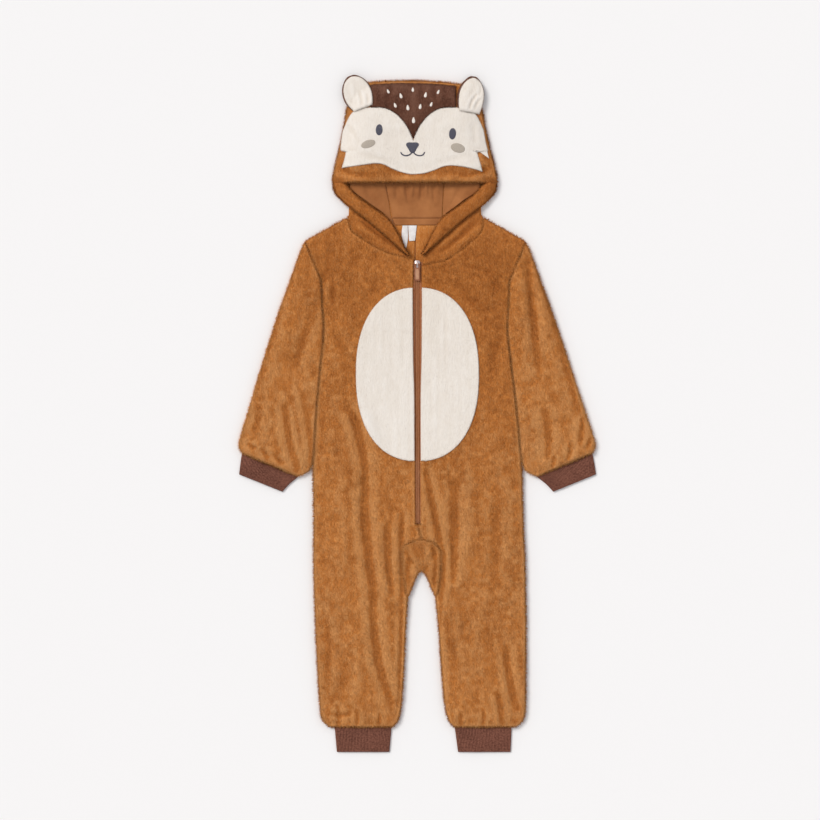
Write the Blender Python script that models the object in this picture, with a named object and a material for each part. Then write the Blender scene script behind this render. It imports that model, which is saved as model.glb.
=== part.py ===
"""A child's hooded one-piece pyjama of plush, laid flat on its back.

X is across, Y runs up to the hood and Z is up. Sizes are in millimetres until a mesh is made in metres.
Each table says what its columns are. Widths are given for one side, measured from the garment's centre line,
and the other side is its mirror image.
"""

import math

import bmesh
import bpy
import numpy as np

MM = 0.001
# The middle of the garment as it lies, which becomes the origin
MIDDLE_X, MIDDLE_Y = -0.07, 2.61

# Cloth thicknesses, and the room between pieces
PLUSH = 3.0
SHORT_PLUSH = 1.8
JERSEY = 1.2
RIB = 2.0
TAPE = 0.8
LABEL = 1.0
SEAM = 0.3
ON_TOP = 0.4
ON_HOOD = 0.6
BODY_AIR = 3.2
HOOD_AIR = 10.5
FLOOR_LAYER = PLUSH + SEAM
BACK_INSET, BACK_DROP = 0.4, 0.6

# Heights along Y, and half widths at the shoulder's ends and the underarm
NECK_POINT_Y, NECK_POINT_X = 293.0, 101.3
SHOULDER_TIP_Y, SHOULDER_TIP_X = 257.0, 164.8
UNDERARM_Y, UNDERARM_X = 199.5, 141.2
ZIP_FOOT_Y = -168.0
GUSSET_TOP_Y = -189.0
GUSSET_WIDE_Y, GUSSET_HALF_WIDTH = -207.0, 28.0
GUSSET_END_Y = -276.0
HEM_Y = -469.5
BROW_Y = 345.0
HOOD_TOP_Y, HOOD_SIDE_TOP_Y = 500.0, 493.5

# y, x: the garment lies with a slight lean
CENTRE_LINE = ((-508, 9.3), (-270, 3.6), (-60, -0.5), (100, -2.8), (290, -3.8), (505, -5.0))
# y, x: the zip, then the seam below it, then the middle of the gap between the legs
INNER_LINE = ((-470, 8.8), (-330, 6.9), (-236, 5.6), (-189, 5.0), (-168, 0.8), (262, -0.5))
# y, half width of the body and leg at the side seam
SIDE_SEAM = (
    (-469.5, 139.5), (-463.5, 147.0), (-454.5, 151.5), (-436.5, 153.4), (-382.5, 155.6), (-328.5, 157.0),
    (-220.5, 157.9), (-166.5, 156.4), (-94.5, 156.0), (-40.5, 152.8), (1.5, 149.6), (55.5, 144.0),
    (91.5, 139.9), (127.5, 137.0), (151.5, 138.8), (199.5, 140.8),
)
# y, half of the gap between the legs
INSEAM = (
    (-469.5, 45.8), (-463.5, 40.0), (-454.5, 36.4), (-436.5, 33.0), (-382.5, 28.5), (-328.5, 25.5),
    (-292.5, 22.5), (-277.0, 21.6), (-272.0, 23.1), (-265.0, 24.3), (-240.0, 27.0), (-207.0, 28.0),
)
# y, half width of the opening that the zip fills
ZIP_OPENING = ((-168, 4.5), (20, 4.7), (80, 6.6), (262, 7.2))
# y, half width of the neck seam, on the wearer's right, which is at -X, and on the left
NECK_SEAM = {
    -1: (
        (231.0, 4.0), (231.8, 10.5), (234.0, 18.0), (238.5, 37.5), (244.5, 51.0), (253.0, 67.5),
        (262.0, 81.0), (271.0, 94.5), (284.0, 99.5), (292.0, 101.0),
    ),
    1: (
        (222.0, 11.0), (223.5, 19.5), (228.0, 43.5), (238.5, 60.0), (248.0, 73.5), (256.5, 84.0),
        (265.0, 93.5), (274.5, 100.5), (286.5, 102.0), (292.0, 101.5),
    ),
}
# y of the fold, its distance from the centre line, its depth: one long fold runs down each front
FRONT_FOLD = {
    -1: (
        (-450, 42, 0.0), (-410, 40, 1.3), (-350, 47, 2.0), (-288, 60, 2.4), (-232, 72, 2.2),
        (-117, 76, 2.4), (-40, 81, 1.8), (10, 96, 0.0), (200, 92, 0.0),
    ),
    1: (
        (-450, 60, 0.0), (-330, 56, 0.0), (-280, 50, 1.2), (-210, 49, 2.3), (-160, 46, 2.0),
        (-95, 40, 1.0), (-50, 44, 0.0), (60, 60, 0.0), (200, 80, 0.0),
    ),
}
# y of the lines across a front, below the shoulder, and those of them that a flat back needs
BODY_ROWS = (
    210, 199.5, 175, 150, 127, 100, 70, 40, 10, -25, -60, -110, -167.7, -169, -189, -190.2, -193, -198,
    -207, -225, -245, -265, -277, -305, -345, -390, -430, -452, -463, -469.5,
)
BACK_ROWS = (
    175, 150, 127, 100, 70, 40, 10, -60, -110, -167.7, -189, -198, -207, -225, -245, -265, -277, -305,
    -345, -390, -452, -463, -469.5,
)
# y, how far the row bends up towards the shoulder
BACK_SHOULDER_ROWS = ((257.0, 1.0), (237.0, 0.66), (218.0, 0.33), (199.5, 0.0))
# share of the way in from the side, rise of the shoulder and back neck there, lift of the rounded edge
BACK_COLUMNS = (
    (0.0, 0.0, 1.2), (0.01, 0.8, 0.3), (0.03, 2.2, 0.0), (0.25, 22.0, 0.0), (0.42, 35.6, 0.0),
    (0.6, 33.5, 0.0), (0.8, 31.3, 0.0), (1.0, 30.5, 0.0),
)
# y, half of the gap where the legs part, as the crotch seam runs
CROTCH = (
    (-328.5, 25.5), (-292.5, 22.3), (-274.5, 19.8), (-256.5, 12.7), (-244.0, 7.5), (-238.0, 3.5),
    (-236.0, 0.15),
)
# outer x, outer y, inner x, inner y: lines across one half of the gusset, from its tail to beside its top
GUSSET_HALF = (
    (22.8, -272.0, 20.4, -274.0), (24.3, -263.0, 16.3, -265.0), (26.2, -248.0, 10.5, -250.5),
    (27.7, -226.0, 6.2, -241.5), (27.9, -207.0, 3.2, -238.0), (19.9, -194.5, 1.6, -236.6),
)
GUSSET_TOP = (0, -189.4, 0, -236.3)
# outer x, outer y, clearance from the side seam, inner y, share of the full loft: lines across a sleeve
SLEEVE_SECTIONS = (
    (165.4, 256.6, 0.8, 199.2, 0.70), (173.0, 240.0, 0.6, 181.0, 0.85), (183.0, 211.5, 0.6, 158.0, 1.0),
    (192.5, 185.0, 0.5, 136.0, 1.0), (202.5, 157.5, 0.6, 108.0, 1.0), (220.5, 103.5, 0.6, 60.0, 1.0),
    (237.7, 49.5, 0.6, 8.0, 1.0), (254.5, -4.5, 0.6, -40.0, 1.0), (264.0, -34.0, 0.8, -66.0, 1.0),
    (267.0, -48.0, 4.4, -83.0, 0.95), (265.5, -54.5, 13.6, -91.0, 0.8), (262.5, -59.5, 23.0, -94.5, 0.3),
)
# outer x, outer y, inner x, inner y, share of the full loft
SLEEVE_CUFF_SECTIONS = (
    (262.3, -60.0, 178.9, -95.0, 0.3), (263.4, -64.0, 182.0, -98.2, 0.6),
    (265.6, -78.0, 192.6, -106.8, 0.5), (267.5, -92.0, 203.0, -118.0, 0.3),
)
LEG_CUFF_SECTIONS = (
    (133.0, -470.0, 47.0, -470.0, 0.3), (132.4, -474.0, 47.6, -474.0, 0.6),
    (131.4, -490.0, 49.4, -490.0, 0.5), (130.2, -508.0, 51.4, -508.0, 0.3),
)
# y, half width of the hood's outline
HOOD_OUTLINE = (
    (293.0, 100.2), (308.0, 99.3), (315.0, 107.0), (324.0, 115.5), (334.0, 121.5), (345.0, 123.3),
    (369.0, 119.6), (399.0, 112.0), (436.5, 104.3), (454.5, 101.5), (474.0, 95.0), (484.0, 89.0),
    (493.5, 79.5),
)
# y of the lines across each layer of the hood, how much the line follows the arched fold
HOOD_FRONT_ROWS = (
    (493.5, 1.0), (492.3, 1.0), (489.5, 1.0), (480, 0.8), (466, 0.5), (450, 0.2), (434, 0), (416, 0),
    (399, 0), (384, 0), (369, 0), (356, 0), (348, 0), (BROW_Y, 0),
)
HOOD_BACK_ROWS = (
    (493.5, 1.0), (484, 1.0), (474, 0.6), (454.5, 0), (425, 0), (399, 0), (369, 0), (BROW_Y, 0),
    (334, 0), (324, 0), (315, 0), (308, 0), (300, 0), (293.6, 0),
)
NECK_DIP = 5.4
# outer x, outer y, outer z, inner x, inner y, inner z: the rolled front edge of the hood, from brow to zip
HOOD_EDGE_SECTIONS = (
    (123.1, 344.6, 3.3, 106.5, 344.6, 9.7), (121.3, 334.0, 3.3, 98.0, 336.5, 9.6),
    (115.3, 324.0, 3.4, 87.0, 325.0, 9.4), (99.0, 308.8, 6.9, 66.0, 309.5, 9.2),
    (72.8, 288.8, 7.3, 40.5, 291.0, 9.1), (47.3, 267.0, 7.8, 25.5, 268.5, 9.2),
    (23.0, 245.0, 9.0, 14.8, 246.0, 9.6), (12.0, 236.0, 9.7, 9.0, 237.5, 9.9),
)
# y, left x, right x: lines across the middle of the lining, then across the tape below it
LINING_CENTRE_ROWS = ((292.0, -38.0, 37.0), (312.0, -41.0, 37.5), (334.0, -46.0, 38.5), (366.0, -49.5, 39.0))
NECK_TAPE_ROWS = ((291.6, -38.0, 44.0), (286.5, -36.2, 43.0), (281.5, -34.0, 42.0))
# left x, left y, right x, right y: lines across each label, from its seam down
LABEL_ROWS = {
    "label_long": ((-22.5, 281.0, -14.6, 281.0), (-23.8, 268.0, -14.2, 264.0), (-18.6, 244.5, -17.4, 244.5)),
    "label_short": ((-14.0, 281.0, -1.0, 281.0), (-13.4, 270.0, -2.2, 270.0), (-12.6, 257.6, -3.6, 258.2)),
}
# seam x, seam y, edge x, edge y, edge z: lines across the side linings, out to the rolled edge of the hood
LINING_SIDE_SECTIONS = {
    -1: (
        (-50.3, 366.0, -88.0, 366.0, 6.5), (-47.4, 340.0, -92.0, 340.0, 7.4),
        (-42.2, 312.0, -73.5, 315.0, 7.4), (-39.5, 294.0, -50.0, 298.5, 7.3),
        (-31.0, 274.0, -33.0, 277.0, 7.2), (-20.0, 250.0, -23.0, 252.0, 7.2),
    ),
    1: (
        (40.0, 366.0, 80.0, 366.0, 6.5), (39.7, 340.0, 85.0, 340.0, 7.4),
        (38.4, 312.0, 64.5, 315.0, 7.4), (38.0, 294.0, 41.5, 298.5, 7.3),
    ),
}
EAR_LENGTH = 54.0
# share of the ear's length, half width there
EAR_SHAPE = ((0.0, 14.0), (0.2, 18.0), (0.45, 20.5), (0.7, 17.5), (0.87, 11.5), (0.96, 6.0), (1.0, 2.0))
EAR_RIM, EAR_BACKING, EAR_CROWN, ON_EAR = 1.6, 2.0, 0.8, 1.0
# base x, base y, lean from upright in degrees
EARS = {-1: (-83.5, 459.0, -17.0), 1: (80.5, 455.0, 12.0)}
FACE_CENTRE_X = -6.5
LOBE_X, LOBE_Y, LOBE_WIDTH, LOBE_HEIGHT, LOBE_OUTER_WIDTH = 51.0, 404.0, 51.5, 53.0, 57.0
MASK_HALF_WIDTH = 106.0
FOREHEAD_DROP, FOREHEAD_HALF_WIDTH = 5.0, 61.0
BELLY_Y, BELLY_HALF_WIDTH, BELLY_HALF_HEIGHT, BELLY_FULLNESS = 57.8, 92.0, 129.8, 2.3

# The zip's hard pieces
CHAIN_HALF_WIDTH, CHAIN_LOW, CHAIN_HIGH = 2.6, 5.4, 8.3
SLIDER_WIDTH, SLIDER_LENGTH, SLIDER_PLATE, SLIDER_FLANGE, SLIDER_DEEP = 8.4, 13.0, 1.4, 0.9, 2.2
SLIDER_TOP = 10.1
PULL_Y = 223.0
BAIL_WIDTH, BAIL_INSIDE, BAIL_BAR, BAIL_ROOM = 2.0, 4.6, 1.0, 1.9
PULL_WIDTH, PULL_LENGTH, PULL_THICK = 8.0, 26.0, 1.3
PULL_SLOT_WIDTH, PULL_SLOT_LENGTH, PULL_BAR = 3.2, 5.0, 1.3

TAN = (0.40, 0.17, 0.055, 1)
CREAM = (0.83, 0.77, 0.67, 1)
DARK_BROWN = (0.12, 0.045, 0.025, 1)
RIB_BROWN = (0.17, 0.062, 0.04, 1)
LINING_BROWN = (0.38, 0.15, 0.06, 1)
WHITE = (0.82, 0.80, 0.78, 1)
ZIP_BROWN = (0.20, 0.075, 0.04, 1)
METAL = (0.66, 0.58, 0.54, 1)


def smooth(table, at, column=1):
    """The table's column as a smooth curve over its first column, with no overshoot."""
    rows = sorted(table)
    x = np.array([row[0] for row in rows], float)
    y = np.array([row[column] for row in rows], float)
    slope = np.diff(y) / np.diff(x)
    tangent = np.concatenate([[slope[0]], (slope[1:] + slope[:-1]) / 2, [slope[-1]]])
    turning = np.concatenate([[False], slope[1:] * slope[:-1] <= 0, [False]])
    tangent[turning] = 0.0
    steepest = 3 * np.minimum(
        np.abs(np.concatenate([[slope[0]], slope])), np.abs(np.concatenate([slope, [slope[-1]]]))
    )
    tangent = np.clip(tangent, -steepest, steepest)
    at = min(max(at, x[0]), x[-1])
    k = min(max(int(np.searchsorted(x, at)) - 1, 0), len(x) - 2)
    h = x[k + 1] - x[k]
    t = (at - x[k]) / h
    return float(
        (1 + 2 * t) * (1 - t) ** 2 * y[k] + t * (1 - t) ** 2 * h * tangent[k]
        + t * t * (3 - 2 * t) * y[k + 1] + t * t * (t - 1) * h * tangent[k + 1]
    )


def rise(distance, over):
    """0 at an edge, 1 once past it by over, rounded like a soft edge."""
    return math.sin(math.pi / 2 * min(max(distance / over, 0.0), 1.0))


def centre(y):
    return smooth(CENTRE_LINE, y)


def material(name, colour, roughness, metallic=0.0):
    made = bpy.data.materials.new(name)
    made.use_nodes = True
    shader = made.node_tree.nodes["Principled BSDF"]
    shader.inputs["Base Color"].default_value = colour
    shader.inputs["Roughness"].default_value = roughness
    shader.inputs["Metallic"].default_value = metallic
    return made


def solid(name, points, faces, colour, roughness=0.9, metallic=0.0):
    """One closed object from points in millimetres, faces turned outward."""
    mesh = bpy.data.meshes.new(name)
    mesh.from_pydata([tuple(c * MM for c in p) for p in points], [], faces)
    work = bmesh.new()
    work.from_mesh(mesh)
    bmesh.ops.recalc_face_normals(work, faces=work.faces)
    work.to_mesh(mesh)
    work.free()
    mesh.shade_smooth()
    made = bpy.data.objects.new(name, mesh)
    made.data.materials.append(material(name, colour, roughness, metallic))
    bpy.context.collection.objects.link(made)
    return made


def wall(name, lower, thickness, colour):
    """A cloth wall: a grid of points on its lower face, and its thickness, one number or one a point."""
    lower = np.asarray(lower, float)
    rows, columns = lower.shape[:2]
    upper = lower.copy()
    upper[:, :, 2] += thickness
    points = np.concatenate([lower.reshape(-1, 3), upper.reshape(-1, 3)])
    top = rows * columns

    def at(r, c):
        return r * columns + c

    faces = []
    for r in range(rows - 1):
        for c in range(columns - 1):
            quad = (at(r, c), at(r, c + 1), at(r + 1, c + 1), at(r + 1, c))
            faces.append(tuple(reversed(quad)))
            faces.append(tuple(top + p for p in quad))
    rim = [at(0, c) for c in range(columns - 1)] + [at(r, columns - 1) for r in range(rows - 1)]
    rim += [at(rows - 1, c) for c in range(columns - 1, 0, -1)] + [at(r, 0) for r in range(rows - 1, 0, -1)]
    for a, b in zip(rim, rim[1:] + rim[:1]):
        faces.append((a, b, top + b, top + a))
    return solid(name, points, faces, colour)


def tube(name, outer, inner, colour):
    """An open cloth tube from matching rings of points on its outer and inner face."""
    outer, inner = np.asarray(outer, float), np.asarray(inner, float)
    sections, around = outer.shape[:2]
    points = np.concatenate([outer.reshape(-1, 3), inner.reshape(-1, 3)])
    inside = sections * around
    faces = []
    for s in range(sections - 1):
        for k in range(around):
            n = (k + 1) % around
            quad = (s * around + k, s * around + n, (s + 1) * around + n, (s + 1) * around + k)
            faces.append(quad)
            faces.append(tuple(inside + p for p in reversed(quad)))
    for s in (0, sections - 1):
        for k in range(around):
            n = (k + 1) % around
            a, b = s * around + k, s * around + n
            faces.append((a, b, inside + b, inside + a))
    return solid(name, points, faces, colour)


# The body: two fronts over two backs

def side_edge(y):
    """Half width of the body at y: shoulder seam, then armhole, then side seam."""
    if y > SHOULDER_TIP_Y:
        down = (NECK_POINT_Y - y) / (NECK_POINT_Y - SHOULDER_TIP_Y)
        return NECK_POINT_X + (SHOULDER_TIP_X - NECK_POINT_X) * down
    if y > UNDERARM_Y:
        down = (SHOULDER_TIP_Y - y) / (SHOULDER_TIP_Y - UNDERARM_Y)
        return SHOULDER_TIP_X + (UNDERARM_X - SHOULDER_TIP_X) * down
    return smooth(SIDE_SEAM, y)


def side_x(y, side):
    return centre(y) + side * side_edge(y)


def front_inner_x(y, side):
    """Where a front ends towards the middle: neck seam, zip, centre seam, gusset, then inside leg."""
    neck = NECK_SEAM[side]
    line = smooth(INNER_LINE, y)
    if y >= neck[0][0]:
        edge = line + side * smooth(ZIP_OPENING, y)
        return min(edge, centre(y) - smooth(neck, y)) if side < 0 else max(edge, centre(y) + smooth(neck, y))
    if y >= ZIP_FOOT_Y:
        return line + side * smooth(ZIP_OPENING, y)
    if y >= GUSSET_TOP_Y:
        return line + side * SEAM / 2
    if y >= GUSSET_WIDE_Y:
        drop = (y - GUSSET_WIDE_Y) / (GUSSET_TOP_Y - GUSSET_WIDE_Y)
        return line + side * (GUSSET_HALF_WIDTH * math.sqrt(max(1 - drop * drop, 0.0)) + SEAM)
    return line + side * (smooth(INSEAM, y) + SEAM * rise(y - GUSSET_END_Y, 10))


def body_air(x, y, side):
    """Room between front and back layer at a point of one front."""
    if y < UNDERARM_Y:
        loft = rise(side * (side_x(y, side) - x), 55)
    else:
        loft = rise(math.hypot(x - side_x(UNDERARM_Y, side), y - UNDERARM_Y), 55)
    if y > 150:
        along_x, along_y = SHOULDER_TIP_X - NECK_POINT_X, SHOULDER_TIP_Y - NECK_POINT_Y
        off_x, off_y = side * (x - centre(y)) - NECK_POINT_X, y - NECK_POINT_Y
        from_shoulder = abs(off_x * along_y - off_y * along_x) / math.hypot(along_x, along_y)
        loft *= rise(from_shoulder, 30)
    apart = min(max((GUSSET_TOP_Y - y) / 100, 0.0), 1.0)
    inner = rise(side * (x - front_inner_x(y, side)), 35)
    loft *= 1 - apart * (1 - inner)
    loft *= 0.35 + 0.65 * rise(y - HEM_Y, 22)
    return BODY_AIR * loft


def front_lower(x, y, side):
    """Height of the front's lower face, its long fold included."""
    fold = FRONT_FOLD[side]
    middle = centre(y) + side * smooth(fold, y, 1)
    depth = smooth(fold, y, 2)
    trough = depth * math.exp(-(((x - middle) / 5.5) ** 2))
    crest = 0.35 * depth * math.exp(-(((abs(x - middle) - 11) / 6) ** 2))
    return FLOOR_LAYER + max(body_air(x, y, side) - trough + crest, 0.0)


def front_stations(y, side):
    """x of each column across a front: close together at both edges and at the fold."""
    outer, inner = side_x(y, side), front_inner_x(y, side)
    width = abs(outer - inner)
    small = min(1.0, width / 60)
    fold = side * (outer - centre(y)) - smooth(FRONT_FOLD[side], y, 1)
    fold = min(max(fold, 0.3 * width), 0.75 * width)
    spread = min(1.0, width / 90)
    near = [fold + d * spread for d in (-11, -5, 0, 5, 11)]
    steps = [0, 1.2 * small, 4 * small, (4 * small + near[0]) / 2, *near]
    steps += [(near[-1] + width - 4 * small) / 2, width - 4 * small, width - 1.2 * small, width]
    return [outer - side * step for step in steps]


def front(side):
    neck_rows = [row[0] for row in NECK_SEAM[side]]
    ys = sorted({*neck_rows, SHOULDER_TIP_Y, *BODY_ROWS}, reverse=True)
    lower = [[(x, y, front_lower(x, y, side)) for x in front_stations(y, side)] for y in ys]
    thickness = np.full((len(ys), len(lower[0])), PLUSH)
    thickness[:, 0], thickness[:, 1] = 0.5 * PLUSH, 0.85 * PLUSH
    return wall(f"front_{NAMES[side]}", lower, thickness, TAN)


def back(side):
    """The back lies flat. Its top edge is the shoulder seam and the back neck seam."""
    lower, thickness = [], []
    for y, bend in [*BACK_SHOULDER_ROWS, *[(y, 0.0) for y in BACK_ROWS]]:
        middle = centre(y) + side * SEAM / 2
        if y < GUSSET_TOP_Y:
            middle = smooth(INNER_LINE, y) + side * crotch_edge(y)
        outer = side_x(y, side) - side * BACK_INSET
        row = []
        for share, top, lift in BACK_COLUMNS:
            row.append((outer + (middle - outer) * share, y + (top - BACK_DROP) * bend, lift))
        lower.append(row)
        thickness.append([PLUSH - lift for _, _, lift in BACK_COLUMNS])
    return wall(f"back_{NAMES[side]}", lower, np.array(thickness), TAN)


def crotch_edge(y):
    return smooth(CROTCH, y) if y > CROTCH[0][0] else smooth(INSEAM, y)


def crotch_gusset():
    """An arch between the legs, from its seam with the fronts down to the crotch seam."""
    sections = [(-1, s) for s in GUSSET_HALF] + [(0, GUSSET_TOP)] + [(1, s) for s in reversed(GUSSET_HALF)]
    lower = []
    for side, (ox, oy, ix, iy) in sections:
        row = []
        for share in (0, 0.3, 0.65, 1):
            y = oy + (iy - oy) * share
            x = smooth(INNER_LINE, y) + side * (ox + (ix - ox) * share)
            reach = side or 1
            edge = front_lower(smooth(INNER_LINE, oy) + reach * (ox + SEAM), oy, reach)
            row.append((x, y, edge + (FLOOR_LAYER - edge) * share**2))
        lower.append(row)
    return wall("crotch_gusset", lower, PLUSH, TAN)


# Sleeves and cuffs: flattened tubes lying on the floor

def flat_ring(section, side, cloth, loft_full, stations):
    """Outer and inner ring of a flattened tube standing on one line across it."""
    ax, ay, bx, by, share = section
    a = np.array([centre(ay) + side * ax, ay])
    b = np.array([centre(by) + side * bx, by])
    width = float(np.hypot(*(b - a)))
    across = (b - a) / width
    thick = 2 * cloth + SEAM
    half = thick / 2
    steps = [half * (1 - math.cos(math.radians(t))) for t in (0, 45, 90)]
    inward = [half + (width - 2 * half) * k / stations for k in range(1, stations)]
    steps = steps + inward + [width - s for s in reversed(steps)]

    def place(s, z):
        return (*(a + across * s), z)

    def loft(s):
        return loft_full * share * rise(min(s, width - s), 0.32 * width)

    def rounding(s):
        d = min(s, width - s, half)
        return math.sqrt(max(half**2 - (half - d) ** 2, 0.0))

    top = [place(s, half + rounding(s) + loft(s)) for s in steps[:-1]]
    bottom = [place(s, half - rounding(s)) for s in reversed(steps[1:])]
    shrink = (width - 2 * cloth) / width
    room = SEAM / 2

    def upper_inside(s):
        return place(cloth + s * shrink, max(half + room, half + rounding(s) + loft(s) - cloth))

    def lower_inside(s):
        return place(cloth + s * shrink, min(half - room, half - rounding(s) + cloth))

    top_in = [upper_inside(s) for s in steps[:-1]]
    bottom_in = [lower_inside(s) for s in reversed(steps[1:])]
    bottom_in[0] = place(width - cloth, half)
    top_in[0] = place(cloth, half)
    return top + bottom, top_in + bottom_in


def flat_tube(name, sections, side, cloth, loft, stations, colour):
    rings = [flat_ring(section, side, cloth, loft, stations) for section in sections]
    return tube(name, [r[0] for r in rings], [r[1] for r in rings], colour)


# The hood

def hood_x(y, side):
    return centre(y) + side * smooth(HOOD_OUTLINE, y)


def hood_top_y(x):
    """The crown's fold: gently arched, and lower on the wearer's left."""
    off = (x - centre(HOOD_TOP_Y)) / 82
    return HOOD_TOP_Y - 6.5 * off * off - 2.5 * off


def hood_lower(x, y):
    """Height of the hood front's lower face: it rises from both sides and from the top fold."""
    sides = min(x - hood_x(y, -1), hood_x(y, 1) - x)
    return FLOOR_LAYER + HOOD_AIR * rise(sides, 42) * rise(hood_top_y(x) - y, 60)


def hood_grid(rows, height, shrink, near, middle):
    """Points of a layer as wide as the hood's outline. The top rows follow the arched fold."""
    grid = []
    for y, fade in rows:
        left, right = hood_x(y, -1) + shrink, hood_x(y, 1) - shrink
        inner = np.linspace(left + 30, right - 30, middle)
        xs = [left + d for d in near] + list(inner) + [right - d for d in reversed(near)]
        line = []
        for x in xs:
            row_y = y + (hood_top_y(x) - HOOD_SIDE_TOP_Y) * fade
            line.append((x, row_y, height(x, row_y)))
        grid.append(line)
    return grid


def hood_front():
    lower = hood_grid(HOOD_FRONT_ROWS, hood_lower, 0.0, (0, 1.2, 4, 14), 9)
    thickness = np.full((len(HOOD_FRONT_ROWS), len(lower[0])), PLUSH)
    thickness[:, 0] = thickness[:, -1] = thickness[0, :] = 0.5 * PLUSH
    thickness[1:, 1] = thickness[1:, -2] = thickness[1, 1:-1] = 0.85 * PLUSH
    return wall("hood_front", lower, thickness, TAN)


def hood_back():
    """Lies flat under the hood, down to the back neck seam, which dips in the middle."""
    lower = hood_grid(HOOD_BACK_ROWS, lambda x, y: 0.0, BACK_INSET, (0,), 7)
    end = HOOD_BACK_ROWS[-1][0]
    last = []
    for x, _, _ in lower.pop():
        inward = min(x - hood_x(end, -1), hood_x(end, 1) - x)
        last.append((x, end - NECK_DIP * rise(inward, 90), 0.0))
    lower.append(last)
    return wall("hood_back", lower, PLUSH, TAN)


def edge_point(side, t, share):
    """A point of the rolled edge's lower face, t along its sections and share across from outer to inner."""
    columns = [[(k, row[c]) for k, row in enumerate(HOOD_EDGE_SECTIONS)] for c in range(6)]
    ox, oy, oz, ix, iy, iz = (smooth(column, t) for column in columns)
    y = oy + (iy - oy) * share
    x = ox + (ix - ox) * share
    bulge = 1.3 * math.sin(math.pi * share)
    z = oz + (iz - oz) * rise(share, 0.75) + bulge
    return centre(y) + side * x, y, z


def hood_edge(side):
    """The hood's front edge beside the face, rolled over the neck."""
    steps = [0, 0.5, 1, 1.5, 2, 2.5, 3, 3.5, 4, 4.5, 5, 5.5, 6, 6.5, 7]
    shares = (0, 0.06, 0.2, 0.45, 0.72, 0.94, 1)
    lower = [[edge_point(side, t, share) for share in shares] for t in steps]
    thickness = np.full((len(steps), len(shares)), PLUSH)
    thickness[:, 0] = thickness[:, -1] = 0.55 * PLUSH
    return wall(f"hood_edge_{NAMES[side]}", lower, thickness, TAN)


def neck_point(side, share):
    """A point on the neck seam, from the shoulder at share 0 to the zip at share 1."""
    rows = NECK_SEAM[side]
    line = [(centre(y) + side * half, y) for y, half in reversed(rows)]
    lengths = [0.0]
    for (x0, y0), (x1, y1) in zip(line, line[1:]):
        lengths.append(lengths[-1] + math.hypot(x1 - x0, y1 - y0))
    at = share * lengths[-1]
    x = float(np.interp(at, lengths, [p[0] for p in line]))
    y = float(np.interp(at, lengths, [p[1] for p in line]))
    return x, y


def hood_side(side):
    """The hood's plush between the neck seam and the rolled edge, tucked a little under that edge."""
    lower = []
    for k in range(11):
        share = k / 10
        nx, ny = neck_point(side, share)
        tx, ty, tz = edge_point(side, 3.12 + 3.7 * share, 0.16)
        level = min(tz - SEAM - PLUSH - 0.1, 3.5 + 3.0 * share)
        gap = 0.45 / math.hypot(tx - nx, ty - ny)
        start = front_lower(nx, ny, side)
        row = []
        for across in (0, 0.12, 0.4, 0.7, 1):
            a = gap + (1 - gap) * across
            low = start + (level - start) * rise(a, 0.9)
            row.append((nx + (tx - nx) * a, ny + (ty - ny) * a, low))
        lower.append(row)
    return wall(f"hood_side_{NAMES[side]}", lower, PLUSH - 0.2, TAN)


def lining_centre():
    lower = []
    for y, left, right in LINING_CENTRE_ROWS:
        xs = np.linspace(left, right, 8)
        lower.append([(x, y, FLOOR_LAYER) for x in xs])
    return wall("lining_centre", lower, JERSEY, LINING_BROWN)


def lining_side(side):
    """From the lining's seam up to the underside of the rolled edge."""
    lower = []
    for sx, sy, ex, ey, ez in LINING_SIDE_SECTIONS[side]:
        row = []
        for share in (0, 0.25, 0.5, 0.75, 1):
            x, y = sx + (ex - sx) * share, sy + (ey - sy) * share
            row.append((x, y, FLOOR_LAYER + (ez - FLOOR_LAYER) * share**1.5))
        lower.append(row)
    return wall(f"lining_{NAMES[side]}", lower, JERSEY, LINING_BROWN)


def neck_tape():
    lower = [[(x, y, FLOOR_LAYER) for x in np.linspace(left, right, 6)] for y, left, right in NECK_TAPE_ROWS]
    return wall("neck_tape", lower, JERSEY, LINING_BROWN)


def labels():
    """Two blank tabs sewn in under the neck tape."""
    for name, rows in LABEL_ROWS.items():
        lower = [[(ax, ay, FLOOR_LAYER), (bx, by, FLOOR_LAYER)] for ax, ay, bx, by in rows]
        wall(name, lower, LABEL, WHITE)


# The face, the ears and the belly lie on the panels, made from their heights

def hood_height(x, y):
    return hood_lower(x, y) + PLUSH + ON_HOOD


def mask_top_y(x):
    """Two lobes that meet over the nose: round on their inner side, and squarer out to the cheeks."""
    off = abs(x - FACE_CENTRE_X) - LOBE_X
    if off < 0:
        return LOBE_Y + LOBE_HEIGHT * math.sqrt(max(1 - (off / LOBE_WIDTH) ** 2, 0.0))
    return LOBE_Y + LOBE_HEIGHT * max(1 - (off / LOBE_OUTER_WIDTH) ** 5, 0.0) ** 0.625


def mask_bottom_y(x):
    """The chin's wavy edge."""
    off = (x - FACE_CENTRE_X) / MASK_HALF_WIDTH
    return 367.0 - 9.0 * math.cos(off * 1.9 * math.pi) * (1 - 0.35 * abs(off)) - 4.0 * off * off


def face_mask():
    xs = FACE_CENTRE_X + MASK_HALF_WIDTH * np.sin(np.linspace(-math.pi / 2, math.pi / 2, 25) * 0.94)
    xs[12] = FACE_CENTRE_X
    lower = []
    for x in xs:
        top, bottom = mask_top_y(x), mask_bottom_y(x)
        ys = [top + (bottom - top) * share for share in (0, 0.1, 0.35, 0.65, 0.9, 1)]
        lower.append([(x, y, hood_height(x, y)) for y in ys])
    return wall("face_mask", lower, SHORT_PLUSH, CREAM)


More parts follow.
